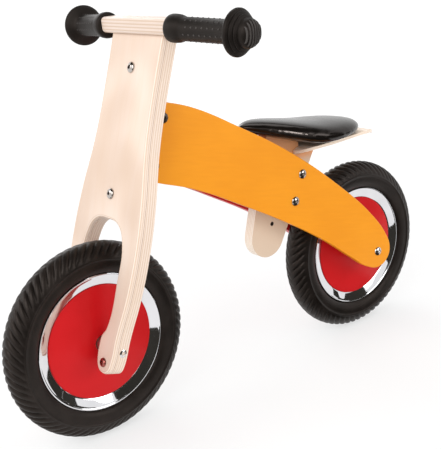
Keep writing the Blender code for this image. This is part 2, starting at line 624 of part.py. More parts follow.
# Heights of the seat board's top and of the horn, from the upper seat bolt.
board_shape = [
    (-1.000, 0.187, 0.714), (-0.973, 0.375, 0.761), (-0.917, 0.573, 0.865), (-0.837, 0.771, 0.956),
    (-0.687, 0.917, 1.000), (-0.465, 1.000, 1.000), (-0.225, 0.948, 0.870), (-0.131, 0.900, 0.818),
    (-0.078, 0.802, 0.784), (-0.040, 0.656, 0.740), (-0.013, 0.490, 0.696), (0.000, 0.333, 0.670),
]
board_line = [(BOARD_FRONT + f * BOARD_L, w * BOARD_HALF_W, h * BOARD_RISE) for f, w, h in board_shape]
saddle_shape = [
    (-1.000, 0.079, 0.475, 0.573), (-0.982, 0.261, 0.454, 0.605), (-0.940, 0.473, 0.435, 0.646),
    (-0.871, 0.701, 0.424, 0.688), (-0.763, 0.897, 0.422, 0.727), (-0.610, 1.000, 0.391, 0.773),
    (-0.469, 0.972, 0.446, 0.836), (-0.336, 0.833, 0.567, 0.909), (-0.219, 0.633, 0.671, 0.968),
    (-0.115, 0.410, 0.762, 1.000), (-0.040, 0.211, 0.843, 0.998), (0.000, 0.056, 0.901, 0.976),
]
saddle_line = [
    (SADDLE_NOSE + f * SADDLE_L, w * SADDLE_HALF_W, low * SADDLE_RISE, high * SADDLE_RISE)
    for f, w, low, high in saddle_shape
]


def board_top(x):
    for (x0, _, z0), (x1, _, z1) in zip(board_line, board_line[1:]):
        if x0 <= x <= x1:
            return z0 + (z1 - z0) * (x - x0) / (x1 - x0)
    return board_line[-1][2]


lower_end = (POST_END_AHEAD, -POST_END_BELOW)
post_rear_x = POST_TOP_REAR
post_points = arc(lower_end, POST_END_R, 180 + POST_REAR_LEAN, 360 + POST_FRONT_LEAN, 9)
post_points += [
    (HORN_FRONT, HORN_TOP),
    (HORN_BACK, HORN_TOP - 0.334 * (HORN_FRONT - HORN_BACK)),
    (HORN_BACK, board_top(HORN_BACK) - BOARD_T - 2 * GAP),
    (post_rear_x, board_top(post_rear_x) - BOARD_T - 2 * GAP),
]
post = board([(x, z, "VECTOR") for x, z in post_points], POST_T, EASE, 1)
post.data.transform(UPRIGHT)
keep(post, "seat_post", BIRCH, None, (REAR_X + SEAT_BOLT_X, 0.0, TYRE_R + SEAT_BOLT_Z))


def loft(stations, ring, name, mat):
    """A skin over stations of (x, half width, low, high), each holding the same ring of points."""
    bm = bmesh.new()
    rows = []
    for x, half, low, high in stations:
        rows.append([bm.verts.new((x, half * a, low + (high - low) * b)) for a, b in ring])
    count = len(ring)
    for one, two in zip(rows, rows[1:]):
        for i in range(count):
            j = (i + 1) % count
            bm.faces.new((one[i], one[j], two[j], two[i]))
    bm.faces.new(rows[0])
    bm.faces.new(rows[-1])
    bmesh.ops.recalc_face_normals(bm, faces=bm.faces)
    for face in bm.faces:
        face.smooth = mat == VINYL
    mesh = bpy.data.meshes.new(name)
    bm.to_mesh(mesh)
    bm.free()
    obj = bpy.data.objects.new(name, mesh)
    parts.objects.link(obj)
    return keep(obj, name, mat, None, (REAR_X + SEAT_BOLT_X, 0.0, TYRE_R + SEAT_BOLT_Z))


half_ring = [
    (0.0, 0.0), (0.6, 0.0), (0.93, 0.16), (1.0, 0.42), (0.93, 0.70), (0.70, 0.90), (0.36, 0.985), (0.0, 1.0),
]
saddle_ring = half_ring + [(-a, b) for a, b in reversed(half_ring[1:-1])]
loft(saddle_line, saddle_ring, "saddle", VINYL)
seat_board = loft([(x, half, top - BOARD_T, top) for x, half, top in board_line],
                  [(-1, 0), (1, 0), (1, 1), (-1, 1)], "seat_board", BIRCH)
notch_back = HORN_BACK - EASE - GAP
notch_l = 2 * (BOARD_FRONT - notch_back)
notch = (REAR_X + SEAT_BOLT_X + notch_back + notch_l / 2, 0.0, TYRE_R + SEAT_BOLT_Z + board_top(HORN_BACK))
cut(seat_board, block((notch_l, POST_T + 2 * GAP, 4 * BOARD_T), notch))
screw_step = (HORN_BACK - POST_TOP_REAR) / 4
for name, x in (("front", HORN_BACK - screw_step), ("rear", POST_TOP_REAR + screw_step)):
    top = board_top(x) - 0.4 * SEAT_SCREW_HEAD_R
    place = (REAR_X + SEAT_BOLT_X + x, 0.0, TYRE_R + SEAT_BOLT_Z + top)
    profile = [
        (0.0, 0.0), (SEAT_SCREW_HEAD_R, 0.0), (SEAT_SCREW_R, -0.75 * SEAT_SCREW_HEAD_R),
        (SEAT_SCREW_R, -SEAT_SCREW_L + SEAT_SCREW_R / 2), (0.0, -SEAT_SCREW_L),
    ]
    keep(turned(profile, 12, closed=False), name + "_seat_board_screw", STEEL, None, place)
    pocket = (place[0], 0.0, place[2] + 0.02 - 0.75 * SEAT_SCREW_HEAD_R - GAP)
    cut(seat_board, rod(SEAT_SCREW_R + GAP, 2 * SEAT_SCREW_L, place, sides=12))
    cut(seat_board, rod(SEAT_SCREW_HEAD_R + 2 * GAP, 0.04, pocket, sides=12))
    cut(post, rod(SEAT_SCREW_R + GAP, 2 * SEAT_SCREW_L + 0.002, place, sides=12))

lean = Vector((-math.sin(SEAT_LEAN), math.cos(SEAT_LEAN)))
across = Vector((math.cos(SEAT_LEAN), math.sin(SEAT_LEAN)))
guide_corners = (
    (-GUIDE_HALF_W, -GUIDE_LOW), (GUIDE_HALF_W, -GUIDE_LOW),
    (GUIDE_HALF_W, GUIDE_HIGH), (-GUIDE_HALF_W, GUIDE_HIGH),
)
guide_outline = [tuple(SEAT_AHEAD + across * w + lean * t) for w, t in guide_corners]
inner_y = POST_T / 2 + GAP
left_guide = prism(guide_outline, lambda x: inner_y, lambda x: beam_inner(x) - GAP, "left_seat_guide", BIRCH)
right_guide = prism(guide_outline, lambda x: GAP - beam_inner(x), lambda x: -inner_y, "right_seat_guide", BIRCH)


def spot_face(beam, side, x, z, radius):
    """A shallow flat seat in a beam, square to a bolt that runs straight across the bike."""
    seat = beam_outer(x) - (radius + 2 * GAP) * SPLAY_TAN - GAP
    place = (REAR_X + x, side * (seat + 0.01), TYRE_R + z)
    cut(beam, rod(radius + 2 * GAP, 0.02, place, TO_LEFT, sides=20))
    return seat + GAP


for index, name in enumerate(("upper", "lower", "free")):
    hole = SEAT_AHEAD - lean * SEAT_HOLE_PITCH * index
    place = (REAR_X + hole.x, 0.0, TYRE_R + hole.y)
    cut(post, rod(SCREW_R + GAP, 0.2, place, TO_LEFT, sides=12))
    if name == "free":
        continue
    for obj in (beams[1], beams[-1], left_guide, right_guide):
        cut(obj, rod(SCREW_R + GAP, 0.2, place, TO_LEFT, sides=12))
    left_seat = spot_face(beams[1], 1, hole.x, hole.y, SCREW_HEAD_R)
    right_seat = spot_face(beams[-1], -1, hole.x, hole.y, SCREW_HEAD_R)
    bolt(name + "_seat_bolt", left_seat + right_seat + 0.004, (place[0], left_seat, place[2]), TO_LEFT)
    cap_nut(name + "_seat_nut", SCREW_HEAD_R, 0.0075, SCREW_R + GAP, 0.0052,
            (place[0], -right_seat, place[2]), TO_RIGHT)

# ---- wheels ------------------------------------------------------------------------------
WHEEL_STEPS = 32
AXLE_RUNNING = AXLE_R / math.cos(math.pi / 20) + 0.00005
RIM_SIDE = [
    (RIM_BED_R, 0.95 * RIM_BED_HALF_W), (RIM_BED_R + 0.0013, RIM_BED_HALF_W),
    (BEAD_SEAT_R - 0.0042, RIM_BED_HALF_W + 0.0013), (BEAD_SEAT_R - 0.0031, RIM_BED_HALF_W + 0.0040),
    (BEAD_SEAT_R - 0.0005, RIM_HALF_W - 0.0009), (RIM_FLANGE_R, RIM_HALF_W),
]
RIM_INSIDE = [
    (RIM_FLANGE_R, RIM_HALF_W - RIM_T), (BEAD_SEAT_R + 0.0004, RIM_HALF_W - 0.0026),
    (BEAD_SEAT_R - 0.0016, RIM_BED_HALF_W + 0.0036), (BEAD_SEAT_R - 0.0020, RIM_BED_HALF_W - 0.0004),
    (RIM_BED_R + RIM_T, 0.85 * RIM_BED_HALF_W),
]
BEAD_Y = RIM_BED_HALF_W + 0.0032
SECTION = TYRE_R - BEAD_SEAT_R


def tyre_profile():
    """Closed section of the casing: over the tread, then back through the inside."""
    outside = [
        (TYRE_R, 0.0), (TYRE_R - 0.0036, 0.58 * TYRE_HALF_W), (TYRE_R - 0.0115, 0.89 * TYRE_HALF_W),
        (BEAD_SEAT_R + 0.55 * SECTION, TYRE_HALF_W), (BEAD_SEAT_R + 0.34 * SECTION, 0.96 * TYRE_HALF_W),
        (RIM_FLANGE_R + 0.0025, RIM_HALF_W), (RIM_FLANGE_R + 0.0004, RIM_HALF_W - 0.0022),
        (BEAD_SEAT_R, BEAD_Y),
    ]
    inside = [
        (BEAD_SEAT_R, BEAD_Y - 0.0034), (RIM_FLANGE_R + 0.0045, RIM_HALF_W - CASING_T),
        (BEAD_SEAT_R + 0.36 * SECTION, 0.96 * TYRE_HALF_W - CASING_T),
        (TYRE_R - 0.0180, 0.96 * TYRE_HALF_W - CASING_T), (TYRE_R - 0.0090, 0.60 * TYRE_HALF_W),
        (TYRE_R - TREAD_T, 0.0),
    ]
    left = outside[::-1] + [(r, -y) for r, y in outside[1:]]
    back = [(r, -y) for r, y in inside] + inside[::-1][1:]
    return left + back


def tube_ring(centre_r, inset):
    """The inner tube's oval as a closed profile, so far inside its skin, running down its outer side."""
    points = []
    for i in range(8):
        angle = 2 * math.pi * (0.5 - i) / 8
        height = (TUBE_HALF_H - inset) * math.cos(angle)
        points.append((centre_r + height, (TUBE_HALF_W - inset) * math.sin(angle)))
    return points


def flipped(profile):
    return [(r, -y) for r, y in reversed(profile)]


def wheel(name, parent, centre, side_y, bolt_seat, bolt_in):
    """A wheel on its spin empty, and the axle, spacers and bolts that stay with the part it runs in."""
    spin = pivot(name + "_wheel_axis", centre, TO_LEFT, parent)
    keep(turned(tyre_profile(), WHEEL_STEPS, True), name + "_tyre", RUBBER, spin)
    rim_profile = RIM_SIDE + RIM_INSIDE + [(r, -y) for r, y in reversed(RIM_SIDE + RIM_INSIDE)]
    rim = keep(turned(rim_profile, WHEEL_STEPS, True), name + "_rim", CHROME, spin)
    tube_r = TYRE_R - TREAD_T - TUBE_CLEAR - TUBE_HALF_H
    tube = keep(turned(tube_ring(tube_r, 0.0), WHEEL_STEPS, True), name + "_inner_tube", RUBBER, spin)
    stem_low = RIM_BED_R - 0.0132
    stem_mid = (stem_low + tube_r - 0.5 * TUBE_HALF_H) / 2
    stem_len = tube_r - 0.5 * TUBE_HALF_H - stem_low
    cut(tube, rod(VALVE_R, stem_len, (stem_mid, 0.0, 0.0), TO_FRONT, spin, 12), "UNION")
    hollow = turned(tube_ring(tube_r, TUBE_WALL), WHEEL_STEPS, True)
    hollow.parent = spin
    cut(tube, hollow)
    bore_mid = (stem_low - 0.004 + tube_r) / 2
    cut(tube, rod(VALVE_BORE_R, tube_r - stem_low + 0.004, (bore_mid, 0.0, 0.0), TO_FRONT, spin, 10))
    cut(rim, rod(VALVE_R + 2 * GAP, 0.03, (RIM_BED_R, 0.0, 0.0), TO_FRONT, spin, 12))

    hole_r = SPACER_R + 0.0010
    dome = [
        (hole_r, DISC_HUB_Y), (0.34 * DISC_R, DISC_HUB_Y), (0.62 * DISC_R, 0.25 * DISC_EDGE_Y + 0.75 * DISC_HUB_Y),
        (0.85 * DISC_R, 0.60 * DISC_EDGE_Y + 0.40 * DISC_HUB_Y), (DISC_R, DISC_EDGE_Y),
    ]
    dome += [(r, y - DISC_T) for r, y in reversed(dome)]
    keep(turned(dome, WHEEL_STEPS, True), name + "_left_disc", RED, spin)
    far_disc = keep(turned(flipped(dome), WHEEL_STEPS, True), name + "_right_disc", RED, spin)
    cut(far_disc, rod(0.0105, 0.03, (0.853 * DISC_R, 0.0, -DISC_EDGE_Y), parent=spin, sides=20))

    hub_half = DISC_HUB_Y - DISC_T - GAP
    pocket = BEARING_R + GAP
    shoulder = hub_half - BEARING_W - GAP
    profile = [
        (HUB_R, hub_half), (HUB_R, -hub_half), (pocket, -hub_half), (pocket, -shoulder),
        (AXLE_R + 0.004, -shoulder), (AXLE_R + 0.004, shoulder), (pocket, shoulder), (pocket, hub_half),
    ]
    keep(turned(profile, 20, True), name + "_hub", NYLON, spin)
    for side, side_name in ((1, "left"), (-1, "right")):
        race = [(BEARING_R, 0.0), (BEARING_R, -BEARING_W), (AXLE_RUNNING, -BEARING_W), (AXLE_RUNNING, 0.0)]
        shift = hub_half if side > 0 else BEARING_W - hub_half
        keep(turned(race, 20, True), f"{name}_{side_name}_bearing", STEEL, spin, (0.0, 0.0, shift))

    half = side_y - GAP
    tap = AXLE_BOLT_R + GAP
    profile = [
        (0.0, half - AXLE_TAP_DEPTH), (tap, half - AXLE_TAP_DEPTH), (tap, half), (AXLE_R, half),
        (AXLE_R, -half), (tap, -half), (tap, AXLE_TAP_DEPTH - half), (0.0, AXLE_TAP_DEPTH - half),
    ]
    keep(turned(profile, 20, False), name + "_axle", STEEL, parent, centre, TO_LEFT)
    inner = hub_half + GAP
    outer = side_y - GAP - SPACER_R * bolt_in
    for side, side_name in ((1, "left"), (-1, "right")):
        profile = [(SPACER_R, outer), (SPACER_R, inner), (AXLE_R + GAP, inner), (AXLE_R + GAP, outer)]
        turn = TO_LEFT if side > 0 else TO_RIGHT
        keep(turned(profile, 16, True), f"{name}_{side_name}_spacer", STEEL, parent, centre, turn)
        place = Vector(centre) + Vector((0.0, side * bolt_seat, 0.0))
        length = bolt_seat - half + AXLE_TAP_DEPTH - 0.002
        bolt(f"{name}_{side_name}_axle_bolt", length, place, turn, parent, shank_r=AXLE_BOLT_R)


foot_seat = FOOT_Y + FOOT_R - 0.0008
for side in (1, -1):
    cut(fork_back, rod(AXLE_BOLT_R + GAP, 0.08, (local_n(0.0), side * FOOT_Y, 0.0), TO_LEFT, steering, 12))
    seat_cutter = (local_n(0.0), side * (foot_seat - GAP + 0.01), 0.0)
    cut(fork_back, rod(SCREW_HEAD_R + GAP, 0.02, seat_cutter, TO_LEFT, steering, 20))
    rear_hole = (REAR_X, side * BEAM_REAR_Y, TYRE_R)
    cut(beams[side], rod(AXLE_BOLT_R + GAP, 0.08, rear_hole, TO_LEFT, sides=12))
    beam_seat = spot_face(beams[side], side, 0.0, 0.0, SCREW_HEAD_R)
wheel("front", steering, (local_n(0.0), 0.0, 0.0), FOOT_Y - FOOT_R - 0.0010, foot_seat, 0.0)
wheel("rear", None, (REAR_X, 0.0, TYRE_R), beam_inner(AXLE_R), beam_seat, SPLAY_TAN)
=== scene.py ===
import json
import math
import bpy
import bmesh
from mathutils import Matrix, Vector


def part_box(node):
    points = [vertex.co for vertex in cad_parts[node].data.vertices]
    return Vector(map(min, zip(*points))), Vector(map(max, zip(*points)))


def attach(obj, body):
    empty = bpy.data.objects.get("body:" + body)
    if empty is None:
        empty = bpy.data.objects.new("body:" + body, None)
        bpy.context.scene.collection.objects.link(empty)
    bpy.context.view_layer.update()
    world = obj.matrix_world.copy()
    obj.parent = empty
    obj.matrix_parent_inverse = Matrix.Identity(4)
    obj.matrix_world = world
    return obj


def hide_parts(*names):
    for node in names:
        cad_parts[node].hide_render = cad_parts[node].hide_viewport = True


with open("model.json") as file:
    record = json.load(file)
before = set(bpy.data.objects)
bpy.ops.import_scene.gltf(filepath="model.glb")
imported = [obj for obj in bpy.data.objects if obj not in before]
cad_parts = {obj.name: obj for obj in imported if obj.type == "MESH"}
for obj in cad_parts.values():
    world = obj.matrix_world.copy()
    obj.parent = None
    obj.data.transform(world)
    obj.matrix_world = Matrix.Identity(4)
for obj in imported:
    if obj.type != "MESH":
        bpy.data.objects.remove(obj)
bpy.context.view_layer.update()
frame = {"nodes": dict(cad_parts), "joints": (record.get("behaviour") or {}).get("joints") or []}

# The studio: a pale floor that keeps the bike's soft shadow, lamps above it and on both sides, black
# sheets that show only in reflections, and a camera ahead of the bike on its left.
scene = bpy.context.scene
scene.view_settings.view_transform = "Standard"
FORWARD, LEFT, UP = Vector((1.0, 0.0, 0.0)), Vector((0.0, 1.0, 0.0)), Vector((0.0, 0.0, 1.0))


def facing(direction, place):
    """Stand a thing's own Z along a direction, with its origin at a place."""
    return Matrix.Translation(place) @ Vector(direction).to_track_quat("Z", "Y").to_matrix().to_4x4()


camera_data = bpy.data.cameras.new("studio_camera")
camera_data.lens = 74.525
camera_data.shift_x = 0.0533
camera_data.shift_y = 0.0549
camera = bpy.data.objects.new("studio_camera", camera_data)
scene.collection.objects.link(camera)
CAMERA_PLACE, TO_CAMERA, CAMERA_ROLL = (0.8926, 1.1319, 0.7216), (0.55433, 0.76562, 0.32641), -5.36
camera.matrix_world = facing(TO_CAMERA, CAMERA_PLACE) @ Matrix.Rotation(math.radians(CAMERA_ROLL), 4, "Z")
scene.camera = camera


class Reading:
    """A value that changes over a surface, which + - * and / work on as they do on numbers."""

    def __init__(self, socket):
        self.socket = socket

    def joined(self, operation, other=0.0, swapped=False):
        tree = self.socket.id_data
        step = tree.nodes.new("ShaderNodeMath")
        step.operation = operation
        for slot, value in zip(step.inputs, (other, self) if swapped else (self, other)):
            if isinstance(value, Reading):
                tree.links.new(value.socket, slot)
            else:
                slot.default_value = value
        return Reading(step.outputs[0])

    def __add__(self, other):
        return self.joined("ADD", other)

    def __sub__(self, other):
        return self.joined("SUBTRACT", other)

    def __rsub__(self, other):
        return self.joined("SUBTRACT", other, True)

    def __mul__(self, other):
        return self.joined("MULTIPLY", other)

    def __truediv__(self, other):
        return self.joined("DIVIDE", other)

    __radd__ = __add__
    __rmul__ = __mul__


class Finish:
    """One surface finish: a material whose nodes, but for the sums, all come from node()."""

    def __init__(self, name, **constants):
        self.material = bpy.data.materials.new(name)
        self.material.use_nodes = True
        self.tree = self.material.node_tree
        self.tree.nodes.clear()
        self.output = self.node("ShaderNodeOutputMaterial")
        if constants:
            self.surface = self.node("ShaderNodeBsdfPrincipled", {}, constants)
            self.feed(self.output, 0, self.surface.outputs[0])

    def node(self, kind, settings=None, inputs=None):
        made = self.tree.nodes.new(kind)
        for key, value in (settings or {}).items():
            setattr(made, key, value)
        for key, value in (inputs or {}).items():
            self.feed(made, key, value)
        return made

    def feed(self, made, key, value):
        slot = made.inputs[key.replace("_", " ") if isinstance(key, str) else key]
        if isinstance(value, Reading):
            value = value.socket
        if isinstance(value, bpy.types.NodeSocket):
            self.tree.links.new(value, slot)
        elif slot.type == "RGBA" and len(value) == 3:
            slot.default_value = (*value, 1.0)
        else:
            slot.default_value = value

    def coat(self, **inputs):
        """Feed the surface shader."""
        for key, value in inputs.items():
            self.feed(self.surface, key, value)

    def toned(self, share, dark, pale, roughness):
        """Let the colour wander between two tones, and set the roughness."""
        self.coat(Base_Color=self.mixed(share, dark, pale), Roughness=roughness)

    def place(self):
        """Where a point of the surface is, in the piece's own coordinates."""
        if not hasattr(self, "coordinates"):
            self.coordinates = self.node("ShaderNodeTexCoord").outputs["Object"]
        return self.coordinates

    def along(self, direction, centre=(0.0, 0.0, 0.0)):
        """Distance from a centre along a direction."""
        inputs = {0: self.place(), 1: tuple(direction)}
        dot = self.node("ShaderNodeVectorMath", {"operation": "DOT_PRODUCT"}, inputs)
        return Reading(dot.outputs["Value"]) - Vector(direction).dot(Vector(centre))

    def vector(self, x, y, z):
        return self.node("ShaderNodeCombineXYZ", {}, {0: x, 1: y, 2: z}).outputs[0]

    def noise(self, place, scale, detail=2.0):
        inputs = {"Vector": place, "Scale": scale, "Detail": detail, "Roughness": 0.5}
        return Reading(self.node("ShaderNodeTexNoise", {}, inputs).outputs["Fac"])

    def between(self, value, low, high):
        """A smooth step of a value, from 0 at one level to 1 at another."""
        inputs = {"Value": value, "From Min": low, "From Max": high, "To Min": 0.0, "To Max": 1.0}
        return Reading(self.node("ShaderNodeMapRange", {"interpolation_type": "SMOOTHSTEP"}, inputs).outputs[0])

    def mixed(self, share, first, second):
        return self.node("ShaderNodeMix", {"data_type": "RGBA"}, {0: share, 6: first, 7: second}).outputs[2]

    def bump(self, height, distance):
        inputs = {"Height": height, "Distance": distance, "Strength": 1.0}
        self.coat(Normal=self.node("ShaderNodeBump", {}, inputs).outputs[0])


def placed(bm, name, finish=None):
    """Turn a finished bmesh into an object at the origin."""
    mesh = bpy.data.meshes.new(name)
    bm.to_mesh(mesh)
    bm.free()
    if finish:
        mesh.materials.append(finish.material)
    made = bpy.data.objects.new(name, mesh)
    scene.collection.objects.link(made)
    return made


paper = Finish("floor_paper")
off_x, off_y = paper.along(FORWARD), paper.along(LEFT)
far_off = (off_x * off_x + off_y * off_y).joined("SQRT")
pale = paper.mixed(paper.between(far_off, 0.7, 3.0), (0.64, 0.64, 0.64), (0.84, 0.84, 0.84))
glow = paper.node("ShaderNodeEmission", {}, {"Color": pale, "Strength": 1.0})
matt = paper.node("ShaderNodeBsdfDiffuse", {}, {"Color": (0.32, 0.32, 0.32)})
both = paper.node("ShaderNodeAddShader", {}, {0: glow.outputs[0], 1: matt.outputs[0]})
paper.feed(paper.output, 0, both.outputs[0])
bm = bmesh.new()
bmesh.ops.create_grid(bm, x_segments=1, y_segments=1, size=16.0)
studio_floor = placed(bm, "studio_floor", paper)


def lamp(name, place, target, width, height, power):
    light = bpy.data.lights.new(name, "AREA")
    light.shape = "RECTANGLE"
    light.size, light.size_y = width, height
    light.energy = power
    holder = bpy.data.objects.new(name, light)
    holder.matrix_world = facing(Vector(place) - Vector(target), place)
    scene.collection.objects.link(holder)
    return holder


lamp("key_lamp", (2.1, 1.1, 2.1), (0.0, 0.0, 0.3), 1.6, 1.6, 34.0)
lamp("top_lamp", (-0.9, -0.5, 2.3), (-0.1, 0.0, 0.3), 1.6, 1.0, 11.0)
lamp("side_lamp", (-0.95, 1.75, 0.72), (0.1, 0.0, 0.2), 0.85, 0.80, 7.0)
lamp("far_lamp", (-0.6, -2.4, 1.5), (0.0, 0.0, 0.3), 1.6, 1.6, 14.0)
lamp("front_lamp", (1.9, -1.2, 1.5), (0.2, 0.0, 0.2), 1.0, 1.0, 10.0)
fill = lamp("fill_lamp", (0.4, 2.3, 0.35), (0.0, 0.0, 0.25), 1.6, 0.6, 2.4)
fill.visible_glossy = False
strip = lamp("strip_lamp", (0.15, 2.30, 0.0), (0.15, 0.0, 0.0), 0.46, 1.90, 80.0)
strip.visible_diffuse = False
strip.visible_camera = False

world = bpy.data.worlds.new("studio_air")
world.use_nodes = True
scene.world = world
air = world.node_tree
sky = air.nodes["Background"]
sky.inputs["Color"].default_value = (1.0, 1.0, 1.0, 1.0)
AIR_LIGHT, AIR_SHOWN = 0.74, 1.0
path = air.nodes.new("ShaderNodeLightPath")
shown = Reading(path.outputs["Is Camera Ray"]).joined("MAXIMUM", Reading(path.outputs["Is Glossy Ray"]))
shown = shown.joined("MAXIMUM", Reading(path.outputs["Is Transmission Ray"]))
air.links.new((shown * (AIR_SHOWN - AIR_LIGHT) + AIR_LIGHT).socket, sky.inputs["Strength"])

card_black = Finish("card_black")
felt = card_black.node("ShaderNodeBsdfDiffuse", {}, {"Color": (0.030, 0.028, 0.024)})
card_black.feed(card_black.output, 0, felt.outputs[0])


def card(name, place, target, width, height):
    """A black sheet that shows only in reflections."""
    bm = bmesh.new()
    bmesh.ops.create_grid(bm, x_segments=1, y_segments=1, size=0.5)
    bmesh.ops.scale(bm, vec=(width, height, 1.0), verts=bm.verts)
    sheet = placed(bm, name, card_black)
    sheet.matrix_world = facing(Vector(place) - Vector(target), place)
    sheet.visible_camera = False
    sheet.visible_diffuse = False
    sheet.visible_transmission = False
    sheet.visible_shadow = False


card("front_card", (0.52, 2.39, 0.46), (0.27, 0.0, 0.46), 2.55, 0.92)
card("upper_card", (-0.45, 2.60, 2.05), (-0.45, 0.0, 1.0), 1.9, 2.0)
card("low_card", (0.0, 2.2, 0.002), (0.0, 2.2, -1.0), 6.0, 3.6)
card("rear_card", (-0.185, 0.215, 0.001), (-0.185, 0.215, -1.0), 0.47, 0.37)
card("ceiling_card", (0.0, 0.2, 3.0), (0.0, 0.2, 0.0), 6.0, 6.0)
card("side_card", (-1.52, 1.28, 0.6), (0.27, 0.0, 0.6), 0.6, 1.2)

# The fork: two boards of birch plywood with one outline, a thin facing on a thick back board, cut
# out for the wheel, with eased edges. It leans back by the steering's rake.
steering = next(joint for joint in frame["joints"] if joint["name"] == "steering")
RAKE = math.atan2(-steering["axis"][0], steering["axis"][2])
FRONT_AXLE = sum(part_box("front_axle"), Vector()) / 2
# Pieces that touch keep this much air between them.
CLEARANCE = 0.0003
BAR_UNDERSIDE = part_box("fork_front_board")[1].z + CLEARANCE
# Local X is ahead of the axle, Y is the bike's left, and Z goes up the fork.
FORK_PLACE = Matrix.Translation(FRONT_AXLE) @ Matrix.Rotation(-RAKE, 4, "Y")
UP_FORK = FORK_PLACE.to_3x3() @ UP
AHEAD = FORK_PLACE.to_3x3() @ FORWARD


def piece(bm, name, finish, smooth=35.0, weighted=False):
    """A finished bmesh as an object, shaded smooth up to an angle."""
    made = placed(bm, name, finish)
    made.data.shade_smooth()
    made.data.set_sharp_from_angle(angle=math.radians(smooth))
    if weighted:
        shading = made.modifiers.new("shading", "WEIGHTED_NORMAL")
        shading.keep_sharp = True
        shading.weight = 100
    return made


def fitted(made, body, node):
    """Let a piece ride on a body and stand for a solid, whose own mesh is hidden."""
    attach(made, body)
    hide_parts(node)


def rounded(bm, edges, radius, segments, clamp=False):
    bmesh.ops.bevel(
        bm, geom=edges, offset=radius, segments=segments, profile=0.5, affect="EDGES", clamp_overlap=clamp,
        material=-1,
    )


def eased(bm, radius, segments, angle):
    """Round every edge sharper than an angle."""
    sharp = [e for e in bm.edges if len(e.link_faces) == 2 and e.calc_face_angle() > math.radians(angle)]
    rounded(bm, sharp, radius, segments, True)


def sawn(outline, thickness, ease=0.0, holes=()):
    """A board in the XY plane: a smooth closed outline of (x, y, kind), with round holes."""
    curve = bpy.data.curves.new("outline", "CURVE")
    curve.dimensions = "2D"
    curve.fill_mode = "BOTH"
    curve.extrude = thickness / 2
    curve.resolution_u = 10
    rings = [outline]
    for x, y, radius in holes:
        rings.append([(x + radius * a, y + radius * b, "AUTO") for a, b in ((1, 0), (0, 1), (-1, 0), (0, -1))])
    for ring in rings:
        spline = curve.splines.new("BEZIER")
        spline.bezier_points.add(len(ring) - 1)
        for point, (x, y, kind) in zip(spline.bezier_points, ring):
            point.co = (x, y, 0.0)
            point.handle_left_type = kind
            point.handle_right_type = kind
        spline.use_cyclic_u = True
    guide = bpy.data.objects.new("outline", curve)
    scene.collection.objects.link(guide)
    graph = bpy.context.evaluated_depsgraph_get()
    flat = bpy.data.meshes.new_from_object(guide.evaluated_get(graph))
    bpy.data.objects.remove(guide, do_unlink=True)
    bm = bmesh.new()
    bm.from_mesh(flat)
    bpy.data.meshes.remove(flat)
    bmesh.ops.remove_doubles(bm, verts=bm.verts, dist=0.00002)
    bmesh.ops.recalc_face_normals(bm, faces=bm.faces)
    bmesh.ops.dissolve_limit(bm, angle_limit=math.radians(0.2), verts=bm.verts, edges=bm.edges)
    if ease:
        eased(bm, ease, 3, 60.0)
    return bm


def sliced(bm, place, way):
    """Cut off what lies past a plane, and close the cut."""
    cut = bmesh.ops.bisect_plane(
        bm, geom=bm.verts[:] + bm.edges[:] + bm.faces[:], plane_co=place, plane_no=way, clear_outer=True,
    )
    rim = [e for e in cut["geom_cut"] if isinstance(e, bmesh.types.BMEdge)]
    bmesh.ops.holes_fill(bm, edges=rim, sides=0)


def plywood(name, depth_way, grain_way, centre, ply, face=(0.88, 0.74, 0.645)):
    """Lacquered birch plywood: pale faces with fine grain, and on the edges light and dark plies."""
    def stained(red, green, blue):
        return face[0] * red, face[1] * green, face[2] * blue

    birch = Finish(name, Base_Color=face, Roughness=0.45, Coat_Weight=0.22, Coat_Roughness=0.25)
    depth = birch.along(depth_way, centre)
    grain = birch.along(grain_way, centre)
    across = birch.along(Vector(depth_way).cross(Vector(grain_way)), centre)
    waver = birch.noise(birch.vector(grain * 9.0, across * 9.0, depth * 9.0), 1.0, 1.0)
    streaks = birch.noise(birch.vector(grain * 14.0, across * 420.0 + waver * 3.0, depth * 420.0), 1.0, 3.0)
    figure = birch.noise(birch.vector(grain * 5.0, across * 55.0 + waver * 2.5, depth * 60.0), 1.0, 2.0)
    pores = birch.noise(birch.vector(grain * 60.0, across * 1500.0, depth * 1500.0), 1.0, 1.0)
    layer = depth / ply + waver * 0.10
    turn = (layer * 0.5 + 0.25).joined("FRACT")
    dark_ply = birch.between((turn - 0.5).joined("ABSOLUTE"), 0.215, 0.275)
    glue = birch.between(((layer + 0.5).joined("FRACT") - 0.5).joined("ABSOLUTE"), 0.40, 0.475)
    wood = birch.mixed(birch.between(figure, 0.35, 0.70), face, stained(0.98, 0.955, 0.92))
    wood = birch.mixed(birch.between(streaks, 0.52, 0.74) * 0.30, wood, stained(0.93, 0.86, 0.77))
    wood = birch.mixed(dark_ply * 0.90, wood, stained(0.82, 0.73, 0.62))
    wood = birch.mixed(glue * 0.60, wood, stained(0.60, 0.47, 0.36))
    birch.coat(Base_Color=wood, Roughness=0.40 + streaks * 0.16)
    birch.bump(streaks * 0.25 + pores * 0.25 - glue * 0.5 - dark_ply * 0.25, 0.00012)
    return birch


# Each board's back and front face, ahead of the axle.
FORK_BACK = (-0.0085, 0.0085)
FORK_FACE = (0.0088, 0.0165)
FOOT_AT, FOOT_UP, FOOT_R = 0.0518, -0.0165, 0.0197
foot_in = FOOT_AT - FOOT_R
diagonal = 0.71 * FOOT_R
